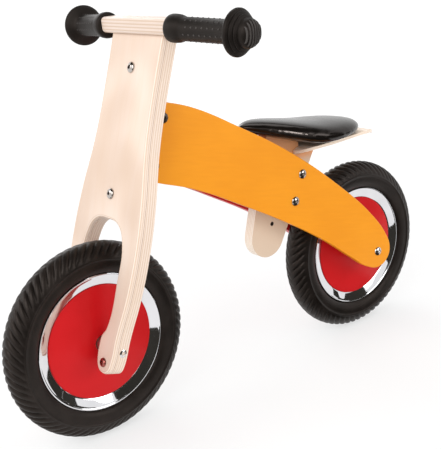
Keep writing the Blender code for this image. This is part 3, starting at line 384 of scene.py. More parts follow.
# Half of the outline, from the neck down the outside, round the foot and up to the wheel arch.
fork_half = [
    (0.0650, 0.4755), (0.0650, 0.3450), (0.0689, 0.2918), (0.0818, 0.2158), (0.0868, 0.1550), (0.0846, 0.0853),
    (0.0745, 0.0202), (FOOT_AT + FOOT_R, FOOT_UP), (FOOT_AT + diagonal, FOOT_UP - diagonal),
    (FOOT_AT, FOOT_UP - FOOT_R), (FOOT_AT - diagonal, FOOT_UP - diagonal), (foot_in, FOOT_UP),
    (foot_in, 0.0075), (foot_in + 0.0015, 0.0160), (foot_in + 0.0112, 0.0300), (0.0500, 0.1008),
    (0.0470, 0.1535), (0.0310, 0.1775),
]
fork_round = fork_half + [(0.0, 0.1835)] + [(-left, up) for left, up in reversed(fork_half)]
# Only the two corners under the bar are sharp.
fork_outline = [(*spot, "VECTOR" if spot[1] == fork_half[0][1] else "AUTO") for spot in fork_round]
upright_board = Matrix(((0, 0, 1, 0), (1, 0, 0, 0), (0, 1, 0, 0), (0, 0, 0, 1)))
for name, node, (low, high), ply, rounding in (
    ("fork_facing", "fork_front_board", FORK_FACE, 0.00154, 0.0040),
    ("fork_back", "fork_back_board", FORK_BACK, 0.00189, 0.0007),
):
    middle = (low + high) / 2
    bm = sawn(fork_outline, high - low)
    # The router rounds the facing's front edge over, and only eases the others.
    sharp = [e for e in bm.edges if e.calc_face_angle(0.0) > 1.0]
    front_edge = [e for e in sharp if min(v.co.z for v in e.verts) > 0.4 * (high - low)]
    back_edge = [e for e in sharp if max(v.co.z for v in e.verts) < -0.4 * (high - low)]
    rounded(bm, front_edge, rounding, 5)
    rounded(bm, [e for e in back_edge if e.is_valid], 0.0005, 1)
    bm.transform(FORK_PLACE @ Matrix.Translation((middle, 0.0, 0.0)) @ upright_board)
    sliced(bm, (0.0, 0.0, BAR_UNDERSIDE - CLEARANCE), UP)
    birch = plywood(name + "_birch", AHEAD, UP_FORK, FRONT_AXLE + AHEAD * middle, ply)
    fitted(piece(bm, name, birch, weighted=True), "fork", node)

# The fork's hardware: button-head bolts with a hexagon socket through the boards, a steel strip
# with two ears on the back, and the long bolt and nut that the whole fork turns on.
def polished(name, colour, roughness):
    """Plated metal with faint handling marks."""
    metal = Finish(name, Base_Color=colour, Metallic=1.0, Roughness=roughness)
    scuffs = metal.noise(metal.place(), 160.0, 3.0)
    smears = metal.noise(metal.place(), 28.0, 2.0)
    dull = tuple(c * 0.93 for c in colour)
    rubbed = roughness + metal.between(scuffs, 0.55, 0.80) * roughness * 0.9
    metal.toned(metal.between(smears, 0.35, 0.75), colour, dull, rubbed)
    return metal


# The fork and seat bolts' chrome is painted darker than the axle bolts', as painted shade for the dark room it
# mirrors.
painted_dark_bolt_chrome = polished("painted_dark_bolt_chrome", (0.50, 0.46, 0.43), 0.12)
axle_chrome = polished("axle_chrome", (0.74, 0.72, 0.71), 0.12)
# The head screws are painted near black, as painted shade for the shade they sit in beside the fork.
painted_shade_black_zinc = polished("painted_shade_black_zinc", (0.14, 0.12, 0.11), 0.28)
# The foot bolts are tinted red, as a painted reflection of the red discs beside them.
painted_reflection_red_zinc = polished("painted_reflection_red_zinc", (0.40, 0.12, 0.10), 0.22)
plain_zinc = polished("plain_zinc", (0.56, 0.55, 0.51), 0.34)


def turned(profile, steps=64, rounding=0.0):
    """A piece turned on a lathe: a profile of (radius, height) round Z, open where it meets the axis."""
    bm = bmesh.new()
    verts = [bm.verts.new((radius, 0.0, height)) for radius, height in profile]
    edges = [bm.edges.new(pair) for pair in zip(verts, verts[1:])]
    if profile[0][0] > 0.0 and profile[-1][0] > 0.0:
        edges.append(bm.edges.new((verts[-1], verts[0])))
    bmesh.ops.spin(
        bm, geom=verts + edges, cent=(0, 0, 0), axis=(0, 0, 1), angle=math.tau, steps=steps, use_merge=True,
    )
    bmesh.ops.remove_doubles(bm, verts=bm.verts, dist=0.000002)
    bmesh.ops.recalc_face_normals(bm, faces=bm.faces)
    if rounding:
        eased(bm, rounding, 2, 25.0)
    return bm


def drawn_on(bm, edges):
    """Draw a ring of edges on into a new ring, and give its vertices and its edges."""
    grown = bmesh.ops.extrude_edge_only(bm, edges=edges)["geom"]
    ring = [g for g in grown if isinstance(g, bmesh.types.BMVert)]
    return ring, [g for g in grown if isinstance(g, bmesh.types.BMEdge) and all(v in ring for v in g.verts)]


BOLT_HEAD_H = 0.0042


def button_bolt(head_r, shank_r, length, socket_r):
    """A domed head over its seat at height 0, with a hexagon socket, and the shank under it."""
    bm = bmesh.new()
    ring = bmesh.ops.create_circle(bm, segments=36, radius=shank_r)["verts"]
    bmesh.ops.translate(bm, verts=ring, vec=(0.0, 0.0, -length))
    bm.faces.new(ring)
    edges = bm.edges[:]
    brim = 0.16
    path = [(shank_r, 0.0), (head_r, 0.0), (head_r, BOLT_HEAD_H * brim)]
    for turn in (math.radians(a) for a in (12, 26, 40, 54, 64)):
        path.append((head_r * math.cos(turn), BOLT_HEAD_H * (brim + (1.0 - brim) * math.sin(turn))))
    radius = shank_r
    for target, height in path:
        ring, edges = drawn_on(bm, edges)
        for vert in ring:
            vert.co = Vector((vert.co.x * target / radius, vert.co.y * target / radius, height))
        radius = target
    side, half_side = math.radians(60), math.radians(30)
    # The socket's mouth, the rim under it and its floor.
    for scale, share in ((1.12, 0.985), (1.0, 0.95), (0.97, 0.35)):
        ring, edges = drawn_on(bm, edges)
        for vert in ring:
            angle = math.atan2(vert.co.y, vert.co.x)
            reach = socket_r * scale * math.cos(half_side) / math.cos((angle % side) - half_side)
            vert.co = Vector((reach * math.cos(angle), reach * math.sin(angle), BOLT_HEAD_H * share))
    bmesh.ops.edgeloop_fill(bm, edges=edges)
    bmesh.ops.recalc_face_normals(bm, faces=bm.faces)
    return bm


def fit_bolt(name, body, seat, direction, finish, length, socket_r=0.0030, head_r=0.0080, shank_r=0.003):
    bm = button_bolt(head_r, shank_r, length, socket_r)
    bm.transform(facing(direction, seat))
    fitted(piece(bm, name + "_piece", finish, 32.0), body, name)


def on_fork(ahead, left, up):
    return FORK_PLACE @ Vector((ahead, left, up))


BOLT_SEAT = FORK_FACE[1] + CLEARANCE
for name, up in (("upper_fork_bolt", 0.4045), ("lower_fork_bolt", 0.2206)):
    fit_bolt(name, "fork", on_fork(BOLT_SEAT, 0.0, up), AHEAD, painted_dark_bolt_chrome, 0.033)
for name, left in (("left_foot_bolt", FOOT_AT), ("right_foot_bolt", -FOOT_AT)):
    seat = on_fork(BOLT_SEAT, left, -0.0195)
    fit_bolt(name, "fork", seat, AHEAD, painted_reflection_red_zinc, 0.022, socket_r=0.0034, head_r=0.0068)


def refinish(finish, *nodes):
    """Give solids whose shape is already right their real finish."""
    for node in nodes:
        solid = frame["nodes"][node]
        solid.data.materials.clear()
        solid.data.materials.append(finish.material)


refinish(plain_zinc, "steering_bracket", "steering_pivot_bolt", "steering_pivot_nut")

# The handlebar: a plywood bar with well rounded edges, its plies lying flat, set on top of the fork
# and held by two hidden beech dowels, with a round tenon at each end that a grip is pressed on.
BAR_BACK_X, BAR_FRONT_X = 0.1195, 0.1495
BAR_H, BAR_EDGE_R = 0.0232, 0.0060
GRIP_SWEEP, GRIP_DROOP = math.radians(12), math.radians(3)
GRIP_START = Vector((0.1383, 0.079, BAR_UNDERSIDE + 0.0101))
TENON_R, TENON_L, TENON_ROOT = 0.0097, 0.099, 0.006


def add_mesh(target, source):
    """Move a bmesh's faces into another."""
    carrier = bpy.data.meshes.new("carrier")
    source.to_mesh(carrier)
    source.free()
    target.from_mesh(carrier)
    bpy.data.meshes.remove(carrier)


bm = bmesh.new()
bmesh.ops.create_cube(bm, size=1.0)
bmesh.ops.scale(bm, vec=(BAR_FRONT_X - BAR_BACK_X, 0.2, BAR_H), verts=bm.verts)
bar_middle = Vector(((BAR_BACK_X + BAR_FRONT_X) / 2, 0.0, BAR_UNDERSIDE + BAR_H / 2))
bmesh.ops.translate(bm, verts=bm.verts, vec=bar_middle)
grip_frames = {}
for side in (1, -1):
    sweep = Matrix.Rotation(side * GRIP_SWEEP, 4, "Z")
    turn = sweep @ Matrix.Rotation(-side * (math.radians(90) + GRIP_DROOP), 4, "X")
    start = Vector((GRIP_START.x, side * GRIP_START.y, GRIP_START.z))
    grip_frames[side] = Matrix.Translation(start) @ turn
    outward = turn.to_3x3() @ UP
    sliced(bm, start - outward * CLEARANCE, outward)
long_edges = [e for e in bm.edges if abs((e.verts[0].co - e.verts[1].co).normalized().y) > 0.9]
rounded(bm, long_edges, BAR_EDGE_R, 6)
eased(bm, 0.0010, 2, 55.0)
for side in (1, -1):
    tenon = turned([(0.0, -TENON_ROOT), (TENON_R, -TENON_ROOT), (TENON_R, TENON_L), (0.0, TENON_L)], 40)
    tenon.transform(grip_frames[side])
    add_mesh(bm, tenon)
bar_birch = plywood("bar_birch", UP, LEFT, bar_middle, 0.00235, (0.75, 0.63, 0.56))
fitted(piece(bm, "bar", bar_birch, weighted=True), "fork", "handlebar")
dowel_beech = Finish("dowel_beech", Base_Color=(0.62, 0.42, 0.26), Roughness=0.55)
x, y, z = (dowel_beech.along(way) for way in (FORWARD, LEFT, UP))
flecks = dowel_beech.noise(dowel_beech.vector(x * 900.0, y * 900.0, z * 110.0), 1.0, 2.0)
dowel_beech.toned(flecks, (0.56, 0.36, 0.21), (0.68, 0.48, 0.31), 0.48 + flecks * 0.14)
refinish(dowel_beech, "left_handlebar_dowel", "right_handlebar_dowel")

# The grips: black rubber mouldings with a bulged inner end, rows of small pimples round the tube,
# three stepped guard rings and a ribbed cap, pushed on the tenons.
grip_rubber = Finish(
    "grip_rubber_moulded", Base_Color=(0.011, 0.009, 0.008), Roughness=0.50, Specular_IOR_Level=0.20,
    Specular_Tint=(1.0, 0.84, 0.76),
)
fine = grip_rubber.noise(grip_rubber.place(), 900.0, 2.0)
cloudy = grip_rubber.noise(grip_rubber.place(), 45.0, 3.0)
patches = grip_rubber.between(cloudy, 0.35, 0.70)
grip_rubber.toned(patches, (0.008, 0.0065, 0.0055), (0.015, 0.0125, 0.011), 0.42 + cloudy * 0.16)
grip_rubber.bump(fine * 0.6 + cloudy * 0.4, 0.00018)
# The pimples and the cap's ribs are painted paler, as painted highlight for the light they catch.
painted_highlight_rubber = Finish(
    "grip_rubber_painted_highlight", Base_Color=(0.050, 0.043, 0.040), Roughness=0.45, Specular_IOR_Level=0.30,
)
painted_highlight_tone = painted_highlight_rubber.noise(painted_highlight_rubber.place(), 300.0, 2.0)
painted_highlight_rubber.toned(painted_highlight_tone, (0.040, 0.034, 0.031), (0.064, 0.056, 0.052), 0.38 + painted_highlight_tone * 0.14)
# Along the grip from the bar, and out from its axis.
TUBE_R, TUBE_BORE_R, BORE_END = 0.0162, 0.0099, 0.0995
GUARD_AT, GRIP_END = 0.116, 0.1433
CAP_R, CAP_DOME = 0.0195, 0.0100
PIMPLE_ROWS, PIMPLES, PIMPLE_PITCH, PIMPLE_R = 10, 8, 0.0094, 0.0013
RIB_PITCH, RIB_STATIONS = 0.0047, 13


def cap_height(radius):
    """Height of the cap's rounded end at a distance from the grip's axis."""
    return GRIP_END - CAP_DOME * (1.0 - math.sqrt(max(0.0, 1.0 - (radius / CAP_R) ** 2.6)))


def grip():
    profile = [(0.0, GRIP_END)]
    profile += [(CAP_R * k, cap_height(CAP_R * k)) for k in (0.2, 0.4, 0.6, 0.75, 0.87, 0.95, 0.99)]
    profile += [(CAP_R, GRIP_END - 0.0105), (CAP_R, GUARD_AT + 0.0135)]
    for radius, low, high in ((0.0238, 0.0088, 0.0120), (0.0275, 0.0044, 0.0074), (0.0315, -0.0030, 0.0026)):
        bulge = (high - low) * 0.28
        profile += [
            (radius - 0.0030, GUARD_AT + high + 0.0010), (radius - 0.0008, GUARD_AT + high),
            (radius, GUARD_AT + high - bulge), (radius, GUARD_AT + low + bulge),
            (radius - 0.0008, GUARD_AT + low),
        ]
    profile += [
        (0.0262, GUARD_AT - 0.0052), (0.0205, GUARD_AT - 0.0076), (TUBE_R + 0.0012, GUARD_AT - 0.0090),
        (TUBE_R, GUARD_AT - 0.0110),
    ]
    collar = (
        (0.0, 0.0270), (0.0003, 0.0245), (0.0017, 0.0212), (0.0026, 0.0180), (0.0031, 0.0135), (0.0033, 0.0085),
        (0.0031, 0.0040), (0.0022, 0.0013), (0.0004, 0.0001),
    )
    profile += [(TUBE_R + swell, along) for swell, along in collar]
    profile += [(0.0140, 0.0), (TUBE_BORE_R, 0.0), (TUBE_BORE_R, BORE_END), (0.0, BORE_END)]
    bm = turned(profile, 72)
    for row in range(PIMPLE_ROWS):
        around = math.tau * (row + 0.5) / PIMPLE_ROWS
        for count in range(PIMPLES):
            along = 0.0345 + PIMPLE_PITCH * (count + (0.5 if row % 2 else 0.0))
            pimple = bmesh.new()
            bmesh.ops.create_uvsphere(pimple, u_segments=8, v_segments=6, radius=PIMPLE_R)
            bmesh.ops.scale(pimple, vec=(0.62, 1.0, 1.0), verts=pimple.verts)
            bmesh.ops.translate(pimple, verts=pimple.verts, vec=(TUBE_R, 0.0, along))
            turn = Matrix.Rotation(around, 3, "Z")
            bmesh.ops.rotate(pimple, verts=pimple.verts, cent=(0, 0, 0), matrix=turn)
            for face in pimple.faces:
                face.material_index = 1
            add_mesh(bm, pimple)
    for k in range(-3, 4):
        across = RIB_PITCH * k
        half = math.sqrt((CAP_R * 0.90) ** 2 - across ** 2)
        rib = bmesh.new()
        ring = [
            rib.verts.new((across + 0.0012 * math.cos(a), 0.0, 0.0022 * math.sin(a)))
            for a in (math.radians(30 * i) for i in range(12))
        ]
        rib.faces.new(ring)
        edges = rib.edges[:]
        for i in range(RIB_STATIONS):
            left = -half + 2.0 * half * i / (RIB_STATIONS - 1)
            if i:
                ring, edges = drawn_on(rib, edges)
            sunk = 0.0014 if i in (0, RIB_STATIONS - 1) else 0.0005
            lift = cap_height(math.hypot(across, left)) - sunk - sum(v.co.z for v in ring) / len(ring)
            for vert in ring:
                vert.co.y = left
                vert.co.z += lift
        bmesh.ops.edgeloop_fill(rib, edges=edges)
        bmesh.ops.recalc_face_normals(rib, faces=rib.faces)
        for face in rib.faces:
            face.material_index = 1
        add_mesh(bm, rib)
    return bm


for side, name in ((1, "left_grip"), (-1, "right_grip")):
    bm = grip()
    bm.transform(grip_frames[side])
    made = piece(bm, name + "_piece", grip_rubber, 40.0)
    # The second material is the painted highlight on the pimples and the cap's ribs.
    made.data.materials.append(painted_highlight_rubber.material)
    fitted(made, "fork", name)

# The two wheels: a rubber tyre with slanted tread ribs on a chromed steel rim, closed on both
# sides by pressed red discs, on a nylon hub with two bearings and spacers on a steel axle.
REAR_AXLE = sum(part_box("rear_axle"), Vector()) / 2
TYRE_R = 0.152
tyre_rubber = Finish(
    "tyre_black", Base_Color=(0.009, 0.007, 0.006), Roughness=0.42, Specular_IOR_Level=0.30,
    Specular_Tint=(1.0, 0.84, 0.76),
)
cloudy = tyre_rubber.noise(tyre_rubber.place(), 30.0, 4.0)
fine = tyre_rubber.noise(tyre_rubber.place(), 700.0, 2.0)
patches = tyre_rubber.between(cloudy, 0.35, 0.72)
tyre_rubber.toned(patches, (0.0055, 0.0040, 0.0032), (0.012, 0.0090, 0.0075), 0.34 + cloudy * 0.16)
tyre_rubber.bump(fine * 0.5 + cloudy * 0.5, 0.00025)
# Half of the tyre's section, from the crown outside to the crown inside: distance from the middle
# plane, and depth under the crown.
tyre_section = [
    (0.0, 0.0), (0.0025, 0.0001), (0.0052, 0.0005), (0.0080, 0.0013), (0.0108, 0.0026), (0.0135, 0.0044),
    (0.0160, 0.0067), (0.0183, 0.0094), (0.0202, 0.0124), (0.0217, 0.0156), (0.0227, 0.0190),
    (0.0231, 0.0212), (0.0240, 0.0218), (0.0240, 0.0229), (0.0231, 0.0236), (0.0230, 0.0275),
    (0.0228, 0.0330), (0.0218, 0.0372), (0.0204, 0.0408), (0.0190, 0.0430), (0.0178, 0.0442),
    (0.0160, 0.0452), (0.0148, 0.0500), (0.0115, 0.0500), (0.0150, 0.0420), (0.0195, 0.0300),
    (0.0190, 0.0180), (0.0120, 0.0085), (0.0, 0.0060),
]
# The tread repeats this many times round the tyre, with these shares of the groove's depth across
# each repeat. It is shallower along the crown and fades out towards the shoulder.
TREAD_PITCHES, GROOVE_DEPTH, TREAD_SLANT = 66, 0.0024, 0.62
GROOVE = (1.0, 0.42, 0.08, 0.0, 0.0, 0.08, 0.42)
CROWN_W, CROWN_SHARE, CROWN_FADE = 0.0030, 0.40, 0.0060
SHOULDER, SHOULDER_FADE, TREAD_END = 0.0231, 0.0030, 0.0300
# What lies inside this arch is the tyre's lining, which has no tread.
LINING_W, LINING_TOP, LINING_DROP = 0.0205, 0.0045, 0.010


def tyre(lean):
    """The tyre round Z. Its grooves run from the crown to the shoulders, leaning the way of turning."""
    profile = [(TYRE_R - depth, y) for y, depth in tyre_section]
    profile += [(TYRE_R - depth, -y) for y, depth in reversed(tyre_section[1:-1])]
    columns = TREAD_PITCHES * len(GROOVE)
    bm = turned(profile, columns)
    for vert in bm.verts:
        radius = math.hypot(vert.co.x, vert.co.y)
        offset = abs(vert.co.z)
        lining = TYRE_R - LINING_TOP - (offset / LINING_W) ** 2 * LINING_DROP
        if radius < TYRE_R - TREAD_END or (offset < LINING_W and radius < lining):
            continue
        angle = math.atan2(vert.co.y, vert.co.x)
        fade = min(1.0, max(0.0, (SHOULDER - offset) / SHOULDER_FADE))
        off_crown = max(0.0, offset - CROWN_W) / CROWN_FADE
        reach = fade * min(1.0, CROWN_SHARE + (1.0 - CROWN_SHARE) * off_crown)
        depth = GROOVE_DEPTH * reach * GROOVE[round(angle / math.tau * columns) % len(GROOVE)]
        inward = Vector((math.cos(angle), math.sin(angle), 0.0)) * 0.9
        inward.z = math.copysign(0.9 * min(1.0, offset / 0.020), vert.co.z)
        run = TYRE_R * 1.02 - radius + offset
        swing = lean * TREAD_SLANT * max(0.0, min(run, 0.050)) / TYRE_R
        vert.co = Matrix.Rotation(swing, 3, "Z") @ (vert.co - inward.normalized() * depth)
    return bm


rim_chrome = polished("rim_chrome", (0.78, 0.78, 0.80), 0.035)
disc_red = Finish(
    "disc_red", Base_Color=(0.56, 0.008, 0.010), Roughness=0.30, Specular_IOR_Level=0.14, Coat_Weight=0.03,
    Coat_Roughness=0.12,
)
cloudy = disc_red.noise(disc_red.place(), 14.0, 2.0)
peel = disc_red.noise(disc_red.place(), 420.0, 1.0)
patches = disc_red.between(cloudy, 0.3, 0.7)
disc_red.toned(patches, (0.53, 0.007, 0.009), (0.58, 0.009, 0.012), 0.26 + peel * 0.08)
disc_red.bump(peel, 0.00006)
hub_nylon = Finish("hub_nylon", Base_Color=(0.72, 0.70, 0.65), Roughness=0.45)
speckle = hub_nylon.noise(hub_nylon.place(), 300.0, 2.0)
hub_nylon.toned(speckle, (0.68, 0.66, 0.61), (0.78, 0.76, 0.71), 0.40 + speckle * 0.12)
hub_nylon.bump(speckle, 0.00006)

# Half of the rim's section: radius, and distance from the middle plane, round the rolled lip.
rim_side = [
    (0.0868, 0.0), (0.0870, 0.0070), (0.0873, 0.0098), (0.0879, 0.0111), (0.0890, 0.0120), (0.0910, 0.0128),
    (0.0955, 0.0144), (0.1000, 0.0161), (0.1018, 0.0167), (0.1030, 0.0170), (0.1036, 0.0172),
    (0.1042, 0.0176), (0.1052, 0.0179), (0.1061, 0.0176), (0.1063, 0.0168), (0.1058, 0.0160),
    (0.1046, 0.0156), (0.1028, 0.0152), (0.1004, 0.0146), (0.0976, 0.0135), (0.0945, 0.0124),
    (0.0920, 0.0114), (0.0902, 0.0104), (0.0892, 0.0090), (0.0890, 0.0060), (0.0888, 0.0),
]
rim_profile = rim_side[:-1] + [(r, -y) for r, y in reversed(rim_side[1:])]
# The disc's outer face: radius, and distance from the middle plane.
DISC_EDGE_R, DISC_T = 0.0885, 0.0015
disc_rise = [
    (0.0130, 0.0195), (0.0240, 0.0195), (0.0300, 0.0194), (0.0400, 0.0188), (0.0500, 0.0180), (0.0600, 0.0169),
    (0.0700, 0.0156), (0.0780, 0.0144), (0.0840, 0.0134), (0.0868, 0.0130), (0.0881, 0.0127),
    (DISC_EDGE_R, 0.0122),
]
VALVE_HOLE_R = 0.0105
VALVE_HOLE_AT = Vector((0.853 * DISC_EDGE_R, -0.0128, 0.0))
SPACER_R, SPACER_BORE_R = 0.0120, 0.0063


def shaped(made, *used):
    """Make what the modifiers show the piece's own mesh, and take the used ones off."""
    graph = bpy.context.evaluated_depsgraph_get()
    mesh = bpy.data.meshes.new_from_object(made.evaluated_get(graph))
    for step in used:
        made.modifiers.remove(step)
    old = made.data
    made.data = mesh
    bpy.data.meshes.remove(old)
    return mesh


def cut_out(made, bm):
    """Cut a closed shape out of a finished piece."""
    cutter = placed(bm, "cutter")
    hole = made.modifiers.new("hole", "BOOLEAN")
    hole.operation = "DIFFERENCE"
    hole.solver = "EXACT"
    hole.object = cutter
    shaped(made, hole)
    bpy.data.objects.remove(cutter, do_unlink=True)
    made.data.set_sharp_from_angle(angle=math.radians(35.0))


for wheel, centre, fixed_body, lean in (("front", FRONT_AXLE, "fork", 1.0), ("rear", REAR_AXLE, "frame", -1.0)):
    spinning = wheel + "_wheel"
    to_wheel = facing(LEFT, centre)
    for name, bm, finish, slot, smooth in (
        ("tyre", tyre(lean), tyre_rubber, "tyre_rubber", 60.0),
        ("rim", turned(rim_profile, 128), rim_chrome, "chrome", 50.0),
    ):
        node = f"{wheel}_{name}"
        bm.transform(to_wheel)
        fitted(piece(bm, node + "_piece", finish, smooth), spinning, node)
    for side, side_name in ((1, "left"), (-1, "right")):
        disc, spacer, bolt = (f"{wheel}_{side_name}_{kind}" for kind in ("disc", "spacer", "axle_bolt"))
        under = [(r, y - DISC_T) for r, y in reversed(disc_rise[:-1])]
        bm = turned([(r, side * y) for r, y in disc_rise + under], 128)
        bm.transform(to_wheel)
        made = piece(bm, disc + "_piece", disc_red, 40.0)
        if side < 0:
            drill = bmesh.new()
            bmesh.ops.create_cone(
                drill, cap_ends=True, segments=48, radius1=VALVE_HOLE_R, radius2=VALVE_HOLE_R, depth=0.03,
            )
            drill.transform(facing(LEFT, centre + VALVE_HOLE_AT))
            cut_out(made, drill)
        fitted(made, spinning, disc)
        low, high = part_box(spacer)
        near, far = (low.y, high.y) if side > 0 else (-high.y, -low.y)
        ring = [(SPACER_BORE_R, near), (SPACER_R, near), (SPACER_R, far), (SPACER_BORE_R, far)]
        bm = turned(ring, 64, 0.0005)
        bm.transform(facing(LEFT * side, (centre.x, 0.0, centre.z)))
        fitted(piece(bm, spacer + "_piece", plain_zinc, 40.0), fixed_body, spacer)
        low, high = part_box(bolt)
        tip = high.y if side > 0 else low.y
        seat = (centre.x, tip - side * BOLT_HEAD_H, centre.z)
        fit_bolt(bolt, fixed_body, seat, LEFT * side, axle_chrome,
                 high.y - low.y - BOLT_HEAD_H - CLEARANCE, socket_r=0.0031, shank_r=0.004)
    refinish(tyre_rubber, wheel + "_inner_tube")
    refinish(hub_nylon, wheel + "_hub")
    refinish(plain_zinc, wheel + "_axle", wheel + "_left_bearing", wheel + "_right_bearing")

# The head block: a birch block between the front ends of the beams, with a nylon bush at each end
# for the pivot bolt, held by two screws through each beam.
BEAM_REAR_Y = 0.067
BEAM_T = 0.015
SPLAY = math.atan(0.088)
# In the fork's own places: ahead of the axle, and up the fork.
HEAD_FRONT, HEAD_BACK = -0.0230, -0.0710
HEAD_TOP, HEAD_LOW = 0.3647, 0.2476
SCREW_AT, SCREW_IN = -0.031, 0.023


def beam_face(x, inside=0.0):
    """Y of the left beam's outer face, or of a plane that far inside it, at a place along the bike."""
    return BEAM_REAR_Y - inside / math.cos(SPLAY) - math.tan(SPLAY) * (x - REAR_AXLE.x)


head = bmesh.new()
bmesh.ops.create_cube(head, size=2.0)
for vert in head.verts:
    ahead, trim = (HEAD_FRONT, 0.0015) if vert.co.x > 0 else (HEAD_BACK, 0.0040)
    spot = on_fork(ahead, 0.0, HEAD_TOP - trim if vert.co.z > 0 else HEAD_LOW + trim)
    spot.y = math.copysign(beam_face(spot.x, BEAM_T) - CLEARANCE, vert.co.y)
    vert.co = spot
eased(head, 0.0012, 3, 60.0)
head_birch = plywood("head_birch", LEFT, UP_FORK, on_fork(-0.047, 0.0, 0.306), 0.00205)
made = piece(head, "head_block_piece", head_birch, weighted=True)
fitted(made, "frame", "head_block")
refinish(hub_nylon, "upper_pivot_bush", "lower_pivot_bush")
for side, side_name in ((1, "left"), (-1, "right")):
    for level, up in (("upper", HEAD_TOP - SCREW_IN), ("lower", HEAD_LOW + SCREW_IN)):
        spot = on_fork(SCREW_AT, 0.0, up)
        out = Vector((math.sin(SPLAY), side * math.cos(SPLAY), 0.0))
        seat = Vector((spot.x, side * beam_face(spot.x), spot.z)) + out * CLEARANCE
        screw = f"{side_name}_{level}_head_screw"
        fit_bolt(screw, "frame", seat, out, painted_shade_black_zinc, 0.0205, socket_r=0.0028)

# The beams: two plywood boards that close in from the rear axle to the head, sealed and painted,
# the left one orange and the right one red, with rounded edges.
paints = {}
for name, low_tone, tone in (
    ("beam_orange", (0.80, 0.280, 0.007), (0.85, 0.310, 0.009)),
    ("beam_red", (0.50, 0.008, 0.010), (0.58, 0.011, 0.014)),
):
    paint = Finish(
        name, Base_Color=tone, Roughness=0.34, Specular_IOR_Level=0.22, Coat_Weight=0.06, Coat_Roughness=0.18,
    )
    x, y, z = (paint.along(way) for way in (FORWARD, LEFT, UP))
    cloudy = paint.noise(paint.place(), 7.0, 2.0)
    grain = paint.noise(paint.vector(x * 24.0 + z * 6.0, y * 60.0, z * 210.0 - x * 50.0), 1.0, 3.0)
    peel = paint.noise(paint.place(), 520.0, 1.0)
    paint.toned(paint.between(cloudy * 0.7 + grain * 0.3, 0.35, 0.65), low_tone, tone, 0.30 + peel * 0.08)
    paint.bump(grain * 0.6 + peel * 0.4, 0.00007)
    paints[name] = paint
BEAM_DEPTH = 0.1045
BEAM_CORNER_R = 0.006
head_high = on_fork(HEAD_FRONT, 0.0, HEAD_TOP) - REAR_AXLE
head_low = on_fork(HEAD_FRONT, 0.0, HEAD_LOW) - REAR_AXLE
reach = (head_high + head_low) / 2
REACH = math.hypot(reach.x, reach.z)
slope = Vector((reach.x / REACH, reach.z / REACH))


def on_beam(share, height):
    """A point in the beam's own plane: a share of the way to the head, and beam depths above that line."""
    x = slope.x * share * REACH - slope.y * height * BEAM_DEPTH
    z = slope.y * share * REACH + slope.x * height * BEAM_DEPTH
    return x / math.cos(SPLAY), z


beam_curve = [
    (0.930, 0.670), (0.745, 0.748), (0.524, 0.777), (0.302, 0.691), (0.097, 0.513), (-0.004, 0.329),
    (-0.044, 0.182), (-0.057, -0.010), (-0.039, -0.211), (0.013, -0.305), (0.091, -0.286), (0.240, -0.223),
    (0.424, -0.221), (0.602, -0.270), (0.811, -0.368), (0.928, -0.498),
]
outline = [(*on_beam(*point), "AUTO") for point in beam_curve]
nose_high = Vector((head_high.x / math.cos(SPLAY), head_high.z))
nose_low = Vector((head_low.x / math.cos(SPLAY), head_low.z))
front_edge = (nose_low - nose_high).normalized()
back_high = (Vector(outline[0][:2]) - nose_high).normalized()
back_low = (Vector(outline[-1][:2]) - nose_low).normalized()
for corner, first, second in ((nose_low, back_low, -front_edge), (nose_high, front_edge, back_high)):
    for a, b in ((1.0, 0.0), (0.55, 0.06), (0.27, 0.27), (0.06, 0.55), (0.0, 1.0)):
        spot = corner + (first * a + second * b) * BEAM_CORNER_R
        outline.append((spot.x, spot.y, "VECTOR"))
middle = BEAM_REAR_Y - BEAM_T / (2 * math.cos(SPLAY))
for side, name, paint, slot in (
    (1, "left_beam", "beam_orange", "orange_paint"), (-1, "right_beam", "beam_red", "red_wood_paint"),
):
    bm = sawn(outline, BEAM_T, 0.0016)
    bm.transform(
        Matrix.Translation((REAR_AXLE.x, side * middle, REAR_AXLE.z)) @ Matrix.Rotation(-side * SPLAY, 4, "Z")
        @ Matrix.Rotation(math.radians(90), 4, "X")
    )
    fitted(piece(bm, name + "_piece", paints[paint], weighted=True), "frame", name)

# The seat plank: a birch plank with a round lower end and a horn under the saddle's nose. It slides
# between two guide blocks and is bolted through two of its three holes.
SEAT_BOLT = Vector((REAR_AXLE.x + 0.1585, 0.0, REAR_AXLE.z + 0.1755))
SEAT_LEAN = math.radians(22.4)
HOLE_PITCH, HOLE_R = 0.0458, 0.0033
PLANK_T, PLANK_EASE = 0.019, 0.0015
# The round lower end: its centre from the upper bolt, its radius, and where its arc starts and ends.
# Over it, the corners of the horn and of the step behind it.
END_AT, END_R, END_ARC, END_STEPS = (0.0455, -0.1050), 0.035, (211.7, 375.4), 12
plank_top = ((0.0351, 0.0650), (-0.0338, 0.0410), (-0.0338, 0.0211), (-0.0709, 0.0257))
lean_way = Vector((-math.sin(SEAT_LEAN), 0.0, math.cos(SEAT_LEAN)))
cross_way = Vector((math.cos(SEAT_LEAN), 0.0, math.sin(SEAT_LEAN)))
plank = []
for k in range(END_STEPS + 1):
    turn = math.radians(END_ARC[0] + (END_ARC[1] - END_ARC[0]) * k / END_STEPS)
    kind = "AUTO" if 0 < k < END_STEPS else "VECTOR"
    plank.append((END_AT[0] + END_R * math.cos(turn), END_AT[1] + END_R * math.sin(turn), kind))
plank += [(*corner, "VECTOR") for corner in plank_top]
holes = []
for index in range(3):
    spot = -lean_way * HOLE_PITCH * index
    holes.append((spot.x, spot.z, HOLE_R))
bm = sawn(plank, PLANK_T, PLANK_EASE, holes)
bm.transform(Matrix.Translation(SEAT_BOLT) @ Matrix.Rotation(math.radians(90), 4, "X"))
# The plank's birch is painted paler than the fork's, as painted light for the fill it misses in the beams'
# shade.
plank_birch = plywood("plank_birch", LEFT, lean_way, SEAT_BOLT, 0.00175, (1.0, 0.92, 0.84))
